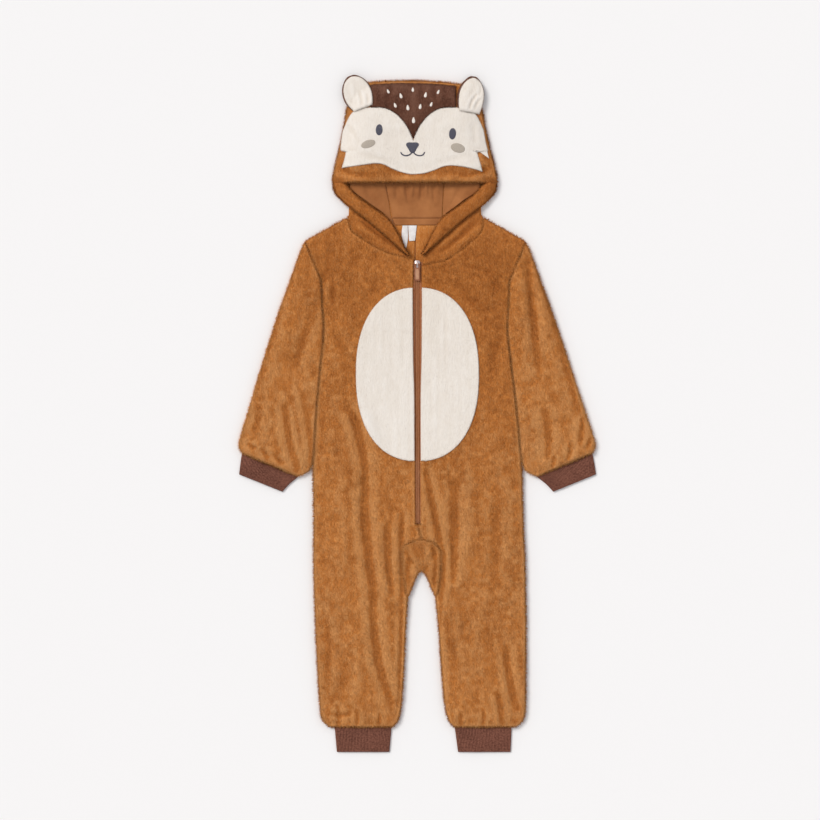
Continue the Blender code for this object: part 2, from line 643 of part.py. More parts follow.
def forehead():
    """From the crown's fold down between the lobes of the mask."""
    lower = []
    for share in np.linspace(-1, 1, 17):
        x = FACE_CENTRE_X + FOREHEAD_HALF_WIDTH * share
        top = hood_top_y(x) - FOREHEAD_DROP
        bottom = mask_top_y(x) + 0.6 if abs(share) > 0.02 else mask_top_y(x) + 2.0
        ys = [top + (bottom - top) * part for part in (0, 0.1, 0.25, 0.42, 0.6, 0.8, 1)]
        lower.append([(x, y, hood_height(x, y)) for y in ys])
    return wall("forehead", lower, SHORT_PLUSH, DARK_BROWN)


def ear_rows(side, grow):
    """Plan of an ear: lines across it from base to tip."""
    base_x, base_y, lean = EARS[side]
    ux, uy = math.sin(math.radians(lean)), math.cos(math.radians(lean))
    rows = []
    for share in (0, 0.12, 0.28, 0.45, 0.62, 0.78, 0.9, 0.97, 1):
        half = smooth(EAR_SHAPE, share) + grow
        along = share * EAR_LENGTH + (grow if share > 0.9 else 0.0)
        row = []
        for across in (-1, -0.7, -0.25, 0.25, 0.7, 1):
            out = across * half
            row.append((base_x + ux * along + uy * out, base_y + uy * along - ux * out, across))
        rows.append(row)
    return rows


def ear_level(x, y):
    """An ear's back rests on the hood, and stays level past its edge."""
    return max(hood_height(x, min(y, hood_top_y(x))), 7.6)


def crowned(row):
    return [(x, y, ear_level(x, y) + EAR_CROWN * (1 - across**2)) for x, y, across in row]


def ear(side):
    backs, fronts = [], []
    for row in ear_rows(side, EAR_RIM):
        backs.append(crowned(row))
    for row in ear_rows(side, 0.0):
        fronts.append([(x, y, z + EAR_BACKING + ON_EAR) for x, y, z in crowned(row)])
    wall(f"ear_back_{NAMES[side]}", backs, EAR_BACKING, DARK_BROWN)
    wall(f"ear_front_{NAMES[side]}", fronts, SHORT_PLUSH, CREAM)


def belly(side):
    """Half of the cream oval, on the front's own surface."""
    lower = []
    for angle in np.linspace(-80.5, 80.5, 15):
        off = math.sin(math.radians(angle)) / math.sin(math.radians(80.5)) * 0.985
        y = BELLY_Y + BELLY_HALF_HEIGHT * off
        half = BELLY_HALF_WIDTH * (1 - abs(off) ** BELLY_FULLNESS) ** (1 / BELLY_FULLNESS)
        inner = front_inner_x(y, side) + side * 0.6
        outer = smooth(INNER_LINE, y) + side * half
        xs = [inner + (outer - inner) * share for share in (0, 0.2, 0.45, 0.7, 0.9, 1)]
        lower.append([(x, y, front_lower(x, y, side) + PLUSH + ON_TOP) for x in xs])
    return wall(f"belly_{NAMES[side]}", lower, SHORT_PLUSH, CREAM)


# The zip

def zip_tape(side):
    """A woven strip under the front's edge, beside the chain."""
    lower = []
    for y in (226, 190, 140, 60, 0, -60, -120, -166):
        line = smooth(INNER_LINE, y)
        xs = (line + side * (CHAIN_HALF_WIDTH + SEAM), line + side * 8.5, line + side * 14.0)
        lower.append([(x, y, FLOOR_LAYER + BODY_AIR - SEAM - TAPE) for x in xs])
    return wall(f"zip_tape_{NAMES[side]}", lower, TAPE, ZIP_BROWN)


def zip_chain():
    lower = []
    for y in (218, 190, 140, 60, 0, -60, -120, -166):
        line = smooth(INNER_LINE, y)
        xs = [line + CHAIN_HALF_WIDTH * share for share in (-1, -0.6, 0.6, 1)]
        lower.append([(x, y, CHAIN_LOW) for x in xs])
    thickness = np.full((8, 4), CHAIN_HIGH - CHAIN_LOW)
    thickness[:, 0] = thickness[:, -1] = 0.6 * (CHAIN_HIGH - CHAIN_LOW)
    return wall("zip_chain", lower, thickness, ZIP_BROWN)


def prism(name, outline, axis, start, length, colour, roughness, metallic):
    """An outline of (u, v) points pushed along X, Y or Z, which are axes 0, 1 and 2."""
    count = len(outline)
    points = []
    for along in (start, start + length):
        for u, v in outline:
            point = [u, v]
            point.insert(axis, along)
            points.append(point)
    faces = [tuple(range(count)), tuple(range(2 * count - 1, count - 1, -1))]
    faces += [(k, (k + 1) % count, count + (k + 1) % count, count + k) for k in range(count)]
    return solid(name, points, faces, colour, roughness, metallic)


def use_as_tool(body, tool, operation):
    """Joins the tool to the body, or cuts it away, and leaves the tool as a hidden guide."""
    change = body.modifiers.new(tool.name, "BOOLEAN")
    change.operation = operation
    change.solver = "EXACT"
    change.object = tool
    tool.hide_render = True
    tool.display_type = "WIRE"


def zip_slider():
    """A plate over the chain with a flange down each side, and a bail on top that holds the pull."""
    middle = smooth(INNER_LINE, PULL_Y)
    half, low = SLIDER_WIDTH / 2, SLIDER_TOP - SLIDER_PLATE
    profile = (
        (-half, low - SLIDER_DEEP), (-half + SLIDER_FLANGE, low - SLIDER_DEEP),
        (-half + SLIDER_FLANGE, low), (half - SLIDER_FLANGE, low),
        (half - SLIDER_FLANGE, low - SLIDER_DEEP), (half, low - SLIDER_DEEP), (half, SLIDER_TOP - 0.5),
        (half - 0.6, SLIDER_TOP), (-half + 0.6, SLIDER_TOP), (-half, SLIDER_TOP - 0.5),
    )
    profile = [(middle + x, z) for x, z in profile]
    body = prism("zip_slider", profile, 1, PULL_Y - 7.5, SLIDER_LENGTH, METAL, 0.3, 1.0)
    inside, outside = BAIL_INSIDE / 2, BAIL_INSIDE / 2 + BAIL_BAR
    under = SLIDER_TOP + BAIL_ROOM
    arch = (
        (-outside, SLIDER_TOP - 0.6), (-inside, SLIDER_TOP - 0.6), (-inside, under), (inside, under),
        (inside, SLIDER_TOP - 0.6), (outside, SLIDER_TOP - 0.6), (outside, under + 0.3),
        (inside, under + BAIL_BAR), (-inside, under + BAIL_BAR), (-outside, under + 0.3),
    )
    arch = [(PULL_Y + y, z) for y, z in arch]
    bail = prism("bail_guide", arch, 0, middle - BAIL_WIDTH / 2, BAIL_WIDTH, METAL, 0.3, 1.0)
    use_as_tool(body, bail, "UNION")
    return body


def zip_pull():
    """A flat tab whose slotted end hooks round the bail. Its origin is on the hinge line."""
    middle = smooth(INNER_LINE, PULL_Y)
    half, end = PULL_WIDTH / 2, PULL_BAR / 2 - PULL_LENGTH
    low = SLIDER_TOP + SEAM
    hinge = low + PULL_THICK / 2
    outline = (
        (-half + 1.2, PULL_BAR / 2), (half - 1.2, PULL_BAR / 2), (half, PULL_BAR / 2 - 1.2),
        (half, end + 1.4), (half - 1.4, end), (-half + 1.4, end), (-half, end + 1.4),
        (-half, PULL_BAR / 2 - 1.2),
    )
    tab = prism("zip_pull", outline, 2, -PULL_THICK / 2, PULL_THICK, RIB_BROWN, 0.4, 0.0)
    slot_half = PULL_SLOT_WIDTH / 2
    slot = (
        (-slot_half, -PULL_BAR / 2), (slot_half, -PULL_BAR / 2),
        (slot_half, -PULL_BAR / 2 - PULL_SLOT_LENGTH), (-slot_half, -PULL_BAR / 2 - PULL_SLOT_LENGTH),
    )
    cutter = prism("slot_guide", slot, 2, -PULL_THICK, 2 * PULL_THICK, RIB_BROWN, 0.4, 0.0)
    use_as_tool(tab, cutter, "DIFFERENCE")
    for made in (tab, cutter):
        made.location = (middle * MM, PULL_Y * MM, hinge * MM)
    return tab


NAMES = {-1: "left", 1: "right"}

for old in list(bpy.data.objects):
    bpy.data.objects.remove(old, do_unlink=True)

for way in (-1, 1):
    front(way)
    back(way)
    sleeve_lines = [(x, y, side_edge(iy) + off, iy, loft) for x, y, off, iy, loft in SLEEVE_SECTIONS]
    flat_tube(f"sleeve_{NAMES[way]}", sleeve_lines, way, PLUSH, BODY_AIR, 6, TAN)
    flat_tube(f"sleeve_cuff_{NAMES[way]}", SLEEVE_CUFF_SECTIONS, way, RIB, 2.0, 5, RIB_BROWN)
    flat_tube(f"leg_cuff_{NAMES[way]}", LEG_CUFF_SECTIONS, way, RIB, 2.0, 5, RIB_BROWN)
    hood_edge(way)
    hood_side(way)
    lining_side(way)
    ear(way)
    belly(way)
    zip_tape(way)
crotch_gusset()
hood_front()
hood_back()
lining_centre()
neck_tape()
labels()
face_mask()
forehead()
zip_chain()
zip_slider()
zip_pull()

pieces = list(bpy.data.objects)
garment = bpy.data.objects.new("garment", None)
garment.location = (-MIDDLE_X * MM, -MIDDLE_Y * MM, 0)
bpy.context.collection.objects.link(garment)
for piece in pieces:
    piece.parent = garment
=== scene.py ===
import math

import bpy
import numpy as np
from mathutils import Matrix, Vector
from mathutils.kdtree import KDTree


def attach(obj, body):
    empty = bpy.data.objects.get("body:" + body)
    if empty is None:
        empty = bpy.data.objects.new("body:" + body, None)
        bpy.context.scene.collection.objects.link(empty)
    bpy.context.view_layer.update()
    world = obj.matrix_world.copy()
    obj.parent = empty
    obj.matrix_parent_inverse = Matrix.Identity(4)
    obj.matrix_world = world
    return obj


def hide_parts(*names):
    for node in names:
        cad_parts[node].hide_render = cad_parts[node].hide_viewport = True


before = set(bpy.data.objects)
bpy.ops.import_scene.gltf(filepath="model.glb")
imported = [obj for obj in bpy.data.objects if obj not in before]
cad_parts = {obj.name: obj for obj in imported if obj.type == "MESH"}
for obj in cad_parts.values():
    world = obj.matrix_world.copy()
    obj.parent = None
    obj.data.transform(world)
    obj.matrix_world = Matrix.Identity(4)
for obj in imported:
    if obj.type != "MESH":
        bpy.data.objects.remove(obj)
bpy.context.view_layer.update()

# The studio: a pale table seen from straight above, lit by a broad soft lamp from the upper left and by the
# pale room round it. The garment lies a little off the middle of the picture, as it was photographed.
MM = 0.001
PICTURE_WIDTH = 1230.0
CAMERA_HEIGHT = 3.6
PICTURE_MIDDLE = (-11.2, 1.9)
SENSOR = 36.0
LAMP_STRENGTH, LAMP_SPREAD, LAMP_COLOUR, LAMP_AIM = 1.63, 24, (1.0, 0.98, 0.95), (0.62, -0.52, -1.0)
ROOM_COLOUR, ROOM_LIGHT = (0.955, 0.965, 1.0, 1), 0.63
TABLE_REACH, TABLE_DROP, TABLE_COLOUR, TABLE_ROUGHNESS = 12.0, 0.0002, (0.93, 0.915, 0.905, 1), 0.9

camera_data = bpy.data.cameras.new("camera")
camera_data.sensor_width = SENSOR
camera_data.lens = SENSOR * CAMERA_HEIGHT / (PICTURE_WIDTH * MM)
camera_data.clip_start, camera_data.clip_end = 0.05, 40.0
camera = bpy.data.objects.new("camera", camera_data)
camera.location = (PICTURE_MIDDLE[0] * MM, PICTURE_MIDDLE[1] * MM, CAMERA_HEIGHT)
bpy.context.collection.objects.link(camera)
bpy.context.scene.camera = camera
bpy.context.scene.view_settings.view_transform = "Standard"

lamp_data = bpy.data.lights.new("window_lamp", "SUN")
lamp_data.energy = LAMP_STRENGTH
lamp_data.angle = math.radians(LAMP_SPREAD)
lamp_data.color = LAMP_COLOUR
lamp = bpy.data.objects.new("window_lamp", lamp_data)
lamp.rotation_euler = Vector(LAMP_AIM).to_track_quat("-Z", "Y").to_euler()
bpy.context.collection.objects.link(lamp)

room = bpy.data.worlds.new("pale_room")
room.use_nodes = True
room.node_tree.nodes["Background"].inputs["Color"].default_value = ROOM_COLOUR
room.node_tree.nodes["Background"].inputs["Strength"].default_value = ROOM_LIGHT
bpy.context.scene.world = room

table_mesh = bpy.data.meshes.new("table")
corners = [(x * TABLE_REACH, y * TABLE_REACH, 0) for x, y in ((-1, -1), (1, -1), (1, 1), (-1, 1))]
table_mesh.from_pydata(corners, [], [(0, 1, 2, 3)])
table = bpy.data.objects.new("table", table_mesh)
table.location.z = -TABLE_DROP
table_paint = bpy.data.materials.new("pale_table")
table_paint.use_nodes = True
table_shader = table_paint.node_tree.nodes["Principled BSDF"]
table_shader.inputs["Base Color"].default_value = TABLE_COLOUR
table_shader.inputs["Roughness"].default_value = TABLE_ROUGHNESS
table_mesh.materials.append(table_paint)
bpy.context.collection.objects.link(table)


# Fronts of body and leg: tan plush, a knitted ground with a dense soft pile about 3 mm deep. Each is cut in
# one from shoulder to ankle, sewn to its back along shoulder and side, and turned in along the zip.
FRAME_X, FRAME_Y = -0.07, 2.61
PLUSH, SEAM = 3.0, 0.3
FLOOR_LAYER = PLUSH + SEAM
BODY_AIR = 3.2
NECK_POINT_Y, NECK_POINT_X = 293.0, 101.3
SHOULDER_TIP_Y, SHOULDER_TIP_X = 257.0, 164.8
UNDERARM_Y, UNDERARM_X = 199.5, 141.2
ZIP_FOOT_Y, GUSSET_TOP_Y = -168.0, -189.0
GUSSET_WIDE_Y, GUSSET_HALF_WIDTH, GUSSET_END_Y = -207.0, 28.0, -276.0
HEM_Y = -469.5
SIDES = {-1: "left", 1: "right"}

# y, x: the garment lies with a slight lean
CENTRE_LINE = ((-508, 9.3), (-270, 3.6), (-60, -0.5), (100, -2.8), (290, -3.8), (505, -5.0))
# y, x: the zip, then the seam below it, then the middle of the gap between the legs
INNER_LINE = ((-470, 8.8), (-330, 6.9), (-236, 5.6), (-189, 5.0), (-168, 0.8), (262, -0.5))
# y, half width at the side seam
SIDE_SEAM = (
    (-469.5, 139.5), (-463.5, 147.0), (-454.5, 151.5), (-436.5, 153.4), (-382.5, 155.6), (-328.5, 157.0),
    (-220.5, 157.9), (-166.5, 156.4), (-94.5, 156.0), (-40.5, 152.8), (1.5, 149.6), (55.5, 144.0),
    (91.5, 139.9), (127.5, 137.0), (151.5, 138.8), (199.5, 140.8),
)
# y, half of the gap between the legs
INSEAM = (
    (-469.5, 45.8), (-463.5, 40.0), (-454.5, 36.4), (-436.5, 33.0), (-382.5, 28.5), (-328.5, 25.5),
    (-292.5, 22.5), (-277.0, 21.6), (-272.0, 23.1), (-265.0, 24.3), (-240.0, 27.0), (-207.0, 28.0),
)
# y, half width of the opening that the zip fills
ZIP_OPENING = ((-168, 4.0), (20, 4.2), (80, 5.6), (262, 6.6))
# y, half width of the neck seam on each side
NECK_SEAM = {
    -1: (
        (231.0, 4.0), (231.8, 10.5), (234.0, 18.0), (238.5, 37.5), (244.5, 51.0), (253.0, 67.5),
        (262.0, 81.0), (271.0, 94.5), (284.0, 99.5), (292.0, 101.0),
    ),
    1: (
        (222.0, 11.0), (223.5, 19.5), (228.0, 43.5), (238.5, 60.0), (248.0, 73.5), (256.5, 84.0),
        (265.0, 93.5), (274.5, 100.5), (286.5, 102.0), (292.0, 101.5),
    ),
}
# start x, start y, middle x, middle y, end x, end y, depth, half width: the folds that lie on each front,
# where a depth below zero is a ridge
FRONT_CREASES = {
    -1: (
        (-108, 12, -86, -40, -76, -130, 3.2, 8.0), (-80, -90, -76, -190, -64, -292, 3.9, 9.0),
        (-68, -265, -60, -360, -36, -446, 3.4, 9.0), (-44, -160, -44, -225, -36, -275, 2.6, 6.5),
        (-23, -140, -24, -215, -22, -275, 2.4, 5.0), (-24, -262, -25, -350, -29, -452, 1.2, 4.0),
        (-96, 28, -70, -20, -56, -80, -1.6, 12.0), (-134, 200, -135, 182, -133, 160, -1.6, 5.0),
        (-118, -60, -112, -160, -114, -260, -1.3, 16.0), (-130, 128, -112, 90, -106, 40, 1.3, 12.0),
        (-60, 215, -75, 170, -105, 150, 1.0, 14.0), (-96, -330, -90, -390, -98, -440, -1.4, 14.0),
        (-124, -436, -118, -452, -121, -482, 1.6, 5.0), (-94, -444, -90, -456, -95, -482, 1.0, 4.0),
        (-58, -448, -57, -460, -61, -482, 1.1, 4.5), (-138, -300, -134, -360, -136, -420, 1.0, 9.0),
        (-136, -445, -116, -452, -98, -447, 1.2, 4.5),
    ),
    1: (
        (10, -80, 27, -160, 39, -222, 3.0, 6.5), (40, -196, 38, -240, 32, -284, 2.8, 5.5),
        (54, -96, 54, -190, 50, -256, 3.2, 9.0), (131, -345, 138, -400, 149, -448, 2.8, 7.0),
        (116, -414, 124, -440, 127, -485, 2.0, 6.0), (96, -440, 99, -456, 94, -482, 0.9, 4.0),
        (66, -446, 64, -458, 69, -482, 1.2, 4.5), (36, -262, 33, -350, 42, -452, 1.0, 4.0),
        (78, -70, 76, -150, 80, -240, -1.4, 14.0), (132, 130, 116, 96, 110, 40, 1.2, 12.0),
        (60, 205, 80, 170, 112, 150, 1.0, 14.0), (96, -260, 88, -330, 92, -400, -1.4, 16.0),
        (116, -100, 118, -190, 112, -290, 1.3, 12.0), (40, -300, 52, -360, 58, -420, 1.0, 10.0),
    ),
}


def smooth(table, at, column=1):
    """The table's column as a smooth curve over its first column, with no overshoot, read at many places."""
    rows = sorted(table)
    x = np.array([row[0] for row in rows], float)
    y = np.array([row[column] for row in rows], float)
    slope = np.diff(y) / np.diff(x)
    tangent = np.concatenate([[slope[0]], (slope[1:] + slope[:-1]) / 2, [slope[-1]]])
    tangent[1:-1][slope[1:] * slope[:-1] <= 0] = 0.0
    steepest = 3 * np.minimum(
        np.abs(np.concatenate([[slope[0]], slope])), np.abs(np.concatenate([slope, [slope[-1]]]))
    )
    tangent = np.clip(tangent, -steepest, steepest)
    at = np.clip(np.asarray(at, float), x[0], x[-1])
    k = np.clip(np.searchsorted(x, at) - 1, 0, len(x) - 2)
    h = x[k + 1] - x[k]
    t = (at - x[k]) / h
    return (
        (1 + 2 * t) * (1 - t) ** 2 * y[k] + t * (1 - t) ** 2 * h * tangent[k]
        + t * t * (3 - 2 * t) * y[k + 1] + t * t * (t - 1) * h * tangent[k + 1]
    )


def rise(distance, over):
    """0 at an edge, 1 once past it by over, rounded like a soft edge."""
    return np.sin(math.pi / 2 * np.clip(np.asarray(distance, float) / over, 0.0, 1.0))


def centre(y):
    return smooth(CENTRE_LINE, y)


def side_edge(y):
    """Half width of the body: shoulder seam, then armhole, then side seam."""
    down = (NECK_POINT_Y - y) / (NECK_POINT_Y - SHOULDER_TIP_Y)
    shoulder = NECK_POINT_X + (SHOULDER_TIP_X - NECK_POINT_X) * down
    down = (SHOULDER_TIP_Y - y) / (SHOULDER_TIP_Y - UNDERARM_Y)
    armhole = SHOULDER_TIP_X + (UNDERARM_X - SHOULDER_TIP_X) * down
    return np.where(y > SHOULDER_TIP_Y, shoulder, np.where(y > UNDERARM_Y, armhole, smooth(SIDE_SEAM, y)))


def front_inner_x(y, side):
    """Where a front ends towards the middle: neck seam, zip, centre seam, gusset, then inside leg."""
    neck = NECK_SEAM[side]
    line = smooth(INNER_LINE, y)
    zip_edge = line + side * smooth(ZIP_OPENING, y)
    neck_edge = centre(y) + side * smooth(neck, y)
    top = np.where(side * neck_edge > side * zip_edge, neck_edge, zip_edge)
    drop = np.clip((y - GUSSET_WIDE_Y) / (GUSSET_TOP_Y - GUSSET_WIDE_Y), 0, 1)
    arch = line + side * (GUSSET_HALF_WIDTH * np.sqrt(1 - drop * drop) + SEAM)
    leg = line + side * (smooth(INSEAM, y) + SEAM * rise(y - GUSSET_END_Y, 10))
    below = np.where(y >= GUSSET_TOP_Y, line + side * SEAM, np.where(y >= GUSSET_WIDE_Y, arch, leg))
    return np.where(y >= neck[0][0], top, np.where(y >= ZIP_FOOT_Y, zip_edge, below))


def body_air(x, y, side):
    """Room between front and back layer."""
    outer = centre(y) + side * side_edge(y)
    low = rise(side * (outer - x), 55)
    high = rise(np.hypot(x - (centre(UNDERARM_Y) + side * UNDERARM_X), y - UNDERARM_Y), 55)
    loft = np.where(y < UNDERARM_Y, low, high)
    along_x, along_y = SHOULDER_TIP_X - NECK_POINT_X, SHOULDER_TIP_Y - NECK_POINT_Y
    off_x, off_y = side * (x - centre(y)) - NECK_POINT_X, y - NECK_POINT_Y
    from_shoulder = np.abs(off_x * along_y - off_y * along_x) / math.hypot(along_x, along_y)
    loft = loft * np.where(y > 150, rise(from_shoulder, 30), 1.0)
    apart = np.clip((GUSSET_TOP_Y - y) / 100, 0.0, 1.0)
    inner = rise(side * (x - front_inner_x(y, side)), 35)
    loft = loft * (1 - apart * (1 - inner))
    return BODY_AIR * loft * (0.35 + 0.65 * rise(y - HEM_Y, 22))


def creases(x, y, table):
    """How far a table's folds lower the cloth: a rounded trough along each, a low bank on each side."""
    total = np.zeros_like(x)
    for ax, ay, mx, my, bx, by, depth, half in table:
        t = np.linspace(0, 1, 25)
        bend_x, bend_y = 2 * mx - (ax + bx) / 2, 2 * my - (ay + by) / 2
        cx = (1 - t) ** 2 * ax + 2 * t * (1 - t) * bend_x + t * t * bx
        cy = (1 - t) ** 2 * ay + 2 * t * (1 - t) * bend_y + t * t * by
        best = np.full(x.shape, 1e9)
        along = np.zeros_like(x)
        for k in range(24):
            dx, dy = cx[k + 1] - cx[k], cy[k + 1] - cy[k]
            s = np.clip(((x - cx[k]) * dx + (y - cy[k]) * dy) / (dx * dx + dy * dy), 0, 1)
            far = np.hypot(x - cx[k] - s * dx, y - cy[k] - s * dy)
            nearer = far < best
            best = np.where(nearer, far, best)
            along = np.where(nearer, (k + s) / 24, along)
        fade = np.sin(math.pi * np.clip(along, 0, 1)) ** 0.7
        total -= 1.15 * depth * fade * np.exp(-((best / (0.8 * half)) ** 2))
        total += 0.42 * depth * fade * np.exp(-(((best - 1.7 * half) / half) ** 2))
    return total


def clumps(x, y, size, seed):
    """Smooth uneven patches between -1 and 1, size apart, as pile that lies this way and that."""
    lattice = np.random.default_rng(seed).uniform(-1, 1, (97, 97))
    u, v = x / size + 41.3, y / size + 57.7
    i, j = np.floor(u).astype(int), np.floor(v).astype(int)
    s, t = u - i, v - j
    s, t = s * s * (3 - 2 * s), t * t * (3 - 2 * t)
    i, j, i2, j2 = i % 97, j % 97, (i + 1) % 97, (j + 1) % 97
    return (
        lattice[i, j] * (1 - s) * (1 - t) + lattice[i2, j] * s * (1 - t)
        + lattice[i, j2] * (1 - s) * t + lattice[i2, j2] * s * t
    )


def across(width, step, rim=(0.0, 0.5, 1.3, 2.4, 4.0)):
    """Distances in from edge to edge, closer at both rims. The count fits the largest width."""
    widest = float(np.max(width))
    count = max(int((widest - 2 * rim[-1]) / step), 2)
    small = np.minimum(1.0, np.asarray(width, float) / (4 * rim[-1]))[:, None]
    start = small * np.array(rim)[None, :]
    inside = start[:, -1:] + (width[:, None] - 2 * start[:, -1:]) * np.linspace(0, 1, count + 2)[None, 1:-1]
    return np.concatenate([start, inside, width[:, None] - start[:, ::-1]], axis=1)


def outline_of(grid):
    """The values round the rim of a grid, in order."""
    return np.concatenate([grid[0], grid[1:, -1], grid[-1, -2::-1], grid[-2:0:-1, 0]])


def rim_distance(x, y):
    """How far in from a grid's outline each of its points lies, and which way the outline is."""
    ring_x, ring_y = outline_of(x), outline_of(y)
    points = []
    for k in range(len(ring_x)):
        nx, ny = ring_x[(k + 1) % len(ring_x)], ring_y[(k + 1) % len(ring_y)]
        parts = max(int(math.hypot(nx - ring_x[k], ny - ring_y[k]) / 0.6), 1)
        for p in range(parts):
            px, py = ring_x[k] + (nx - ring_x[k]) * p / parts, ring_y[k] + (ny - ring_y[k]) * p / parts
            points.append((px, py, 0))
    tree = KDTree(len(points))
    for k, point in enumerate(points):
        tree.insert(point, k)
    tree.balance()
    found = [tree.find((px, py, 0)) for px, py in zip(x.ravel(), y.ravel())]
    distance = np.array([near[2] for near in found]).reshape(x.shape)
    nearest = np.array([near[0][:2] for near in found]).reshape(*x.shape, 2)
    outward = (nearest - np.stack([x, y], axis=2)) / np.maximum(distance, 0.05)[..., None]
    return distance, outward


def roll(distance, radius):
    """How far a rolled edge drops below the panel's face."""
    inside = np.clip(distance, 0, radius)
    return radius - np.sqrt(radius**2 - (radius - inside) ** 2)


def make_piece(name, points, faces, stuff, body="garment"):
    """One object of the garment, from points in millimetres of the garment's own drawing."""
    placed = (np.asarray(points, float).reshape(-1, 3) - (FRAME_X, FRAME_Y, 0)) * MM
    mesh = bpy.data.meshes.new(name)
    mesh.from_pydata(placed.tolist(), [], faces)
    mesh.shade_smooth()
    mesh.materials.append(stuff)
    made = bpy.data.objects.new(name, mesh)
    bpy.context.collection.objects.link(made)
    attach(made, body)
    return made


def shell(name, top, thickness, stuff):
    """A thin shell from a grid of points on its outer face, closed round its rim."""
    under = top.copy()
    under[:, :, 2] = np.maximum(under[:, :, 2] - thickness, 0.1)
    shift = top[..., 0].size
    index = np.arange(shift).reshape(top.shape[:2])
    quads = np.stack([index[:-1, :-1], index[:-1, 1:], index[1:, 1:], index[1:, :-1]], axis=-1)
    quads = quads.reshape(-1, 4)
    ring = outline_of(index)
    following = np.roll(ring, -1)
    rim = np.stack([following, ring, ring + shift, following + shift], axis=-1)
    if np.cross(top[0, 1] - top[0, 0], top[1, 0] - top[0, 0])[2] < 0:
        quads, rim = quads[:, ::-1], rim[:, ::-1]
    faces = np.concatenate([quads, quads[:, ::-1] + shift, rim]).tolist()
    points = np.concatenate([top.reshape(-1, 3), under.reshape(-1, 3)])
    return make_piece(name, points, faces, stuff)


def solid_of(name):
    """A piece has the name of the solid that it stands for, and then its cloth."""
    return name.rsplit("_", 1)[0]


def cloth(name, top, thickness, stuff, flat, area=None, rests_on=(), held="laid", with_pieces=(), slot=None):
    """A shell of cloth that stands for its solid, which it hides."""
    made = shell(name, top, thickness, stuff)
    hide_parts(solid_of(name))
    return made


def put(tree, socket, value):
    """Links a socket to another one, or sets its value."""
    if isinstance(value, bpy.types.NodeSocket):
        tree.links.new(value, socket)
    else:
        socket.default_value = value


def node(tree, kind, inputs, **settings):
    """A new shader node with its settings and inputs."""
    made = tree.nodes.new(f"ShaderNode{kind}")
    for setting, value in settings.items():
        setattr(made, setting, value)
    for socket, value in inputs.items():
        put(tree, made.inputs[socket], value)
    return made


def maths(tree, operation, *values):
    return node(tree, "Math", dict(enumerate(values)), operation=operation).outputs["Value"]


def noise(tree, place, scale, detail=2.0):
    return node(tree, "TexNoise", {"Vector": place, "Scale": scale, "Detail": detail}).outputs["Fac"]


def wave(tree, place, way, scale, distortion):
    inputs = {"Vector": place, "Scale": scale, "Distortion": distortion}
    return node(tree, "TexWave", inputs, bands_direction=way).outputs["Fac"]


def ramp(tree, factor, low, dark, high, light):
    """A colour that runs from dark to light between two values of a factor."""
    made = node(tree, "ValToRGB", {"Fac": factor})
    for end, position, colour in zip(made.color_ramp.elements, (low, high), (dark, light)):
        end.position = position
        end.color = (*colour, 1)
    return made.outputs["Color"]


def object_place(tree):
    """The place on the piece that a pattern is laid out by."""
    return node(tree, "TexCoord", {}).outputs["Object"]


def material(name):
    """A new material and its tree of nodes."""
    stuff = bpy.data.materials.new(name)
    stuff.use_nodes = True
    return stuff, stuff.node_tree


def finish(tree, inputs, height=None, strength=0.0, depth=0.0):
    """Sets the shader's own sockets, and a fine relief from a height."""
    shader = tree.nodes["Principled BSDF"]
    for socket, value in inputs.items():
        put(tree, shader.inputs[socket], value)
    if height is not None:
        bump = node(tree, "Bump", {"Strength": strength, "Distance": depth, "Height": height})
        put(tree, shader.inputs["Normal"], bump.outputs["Normal"])


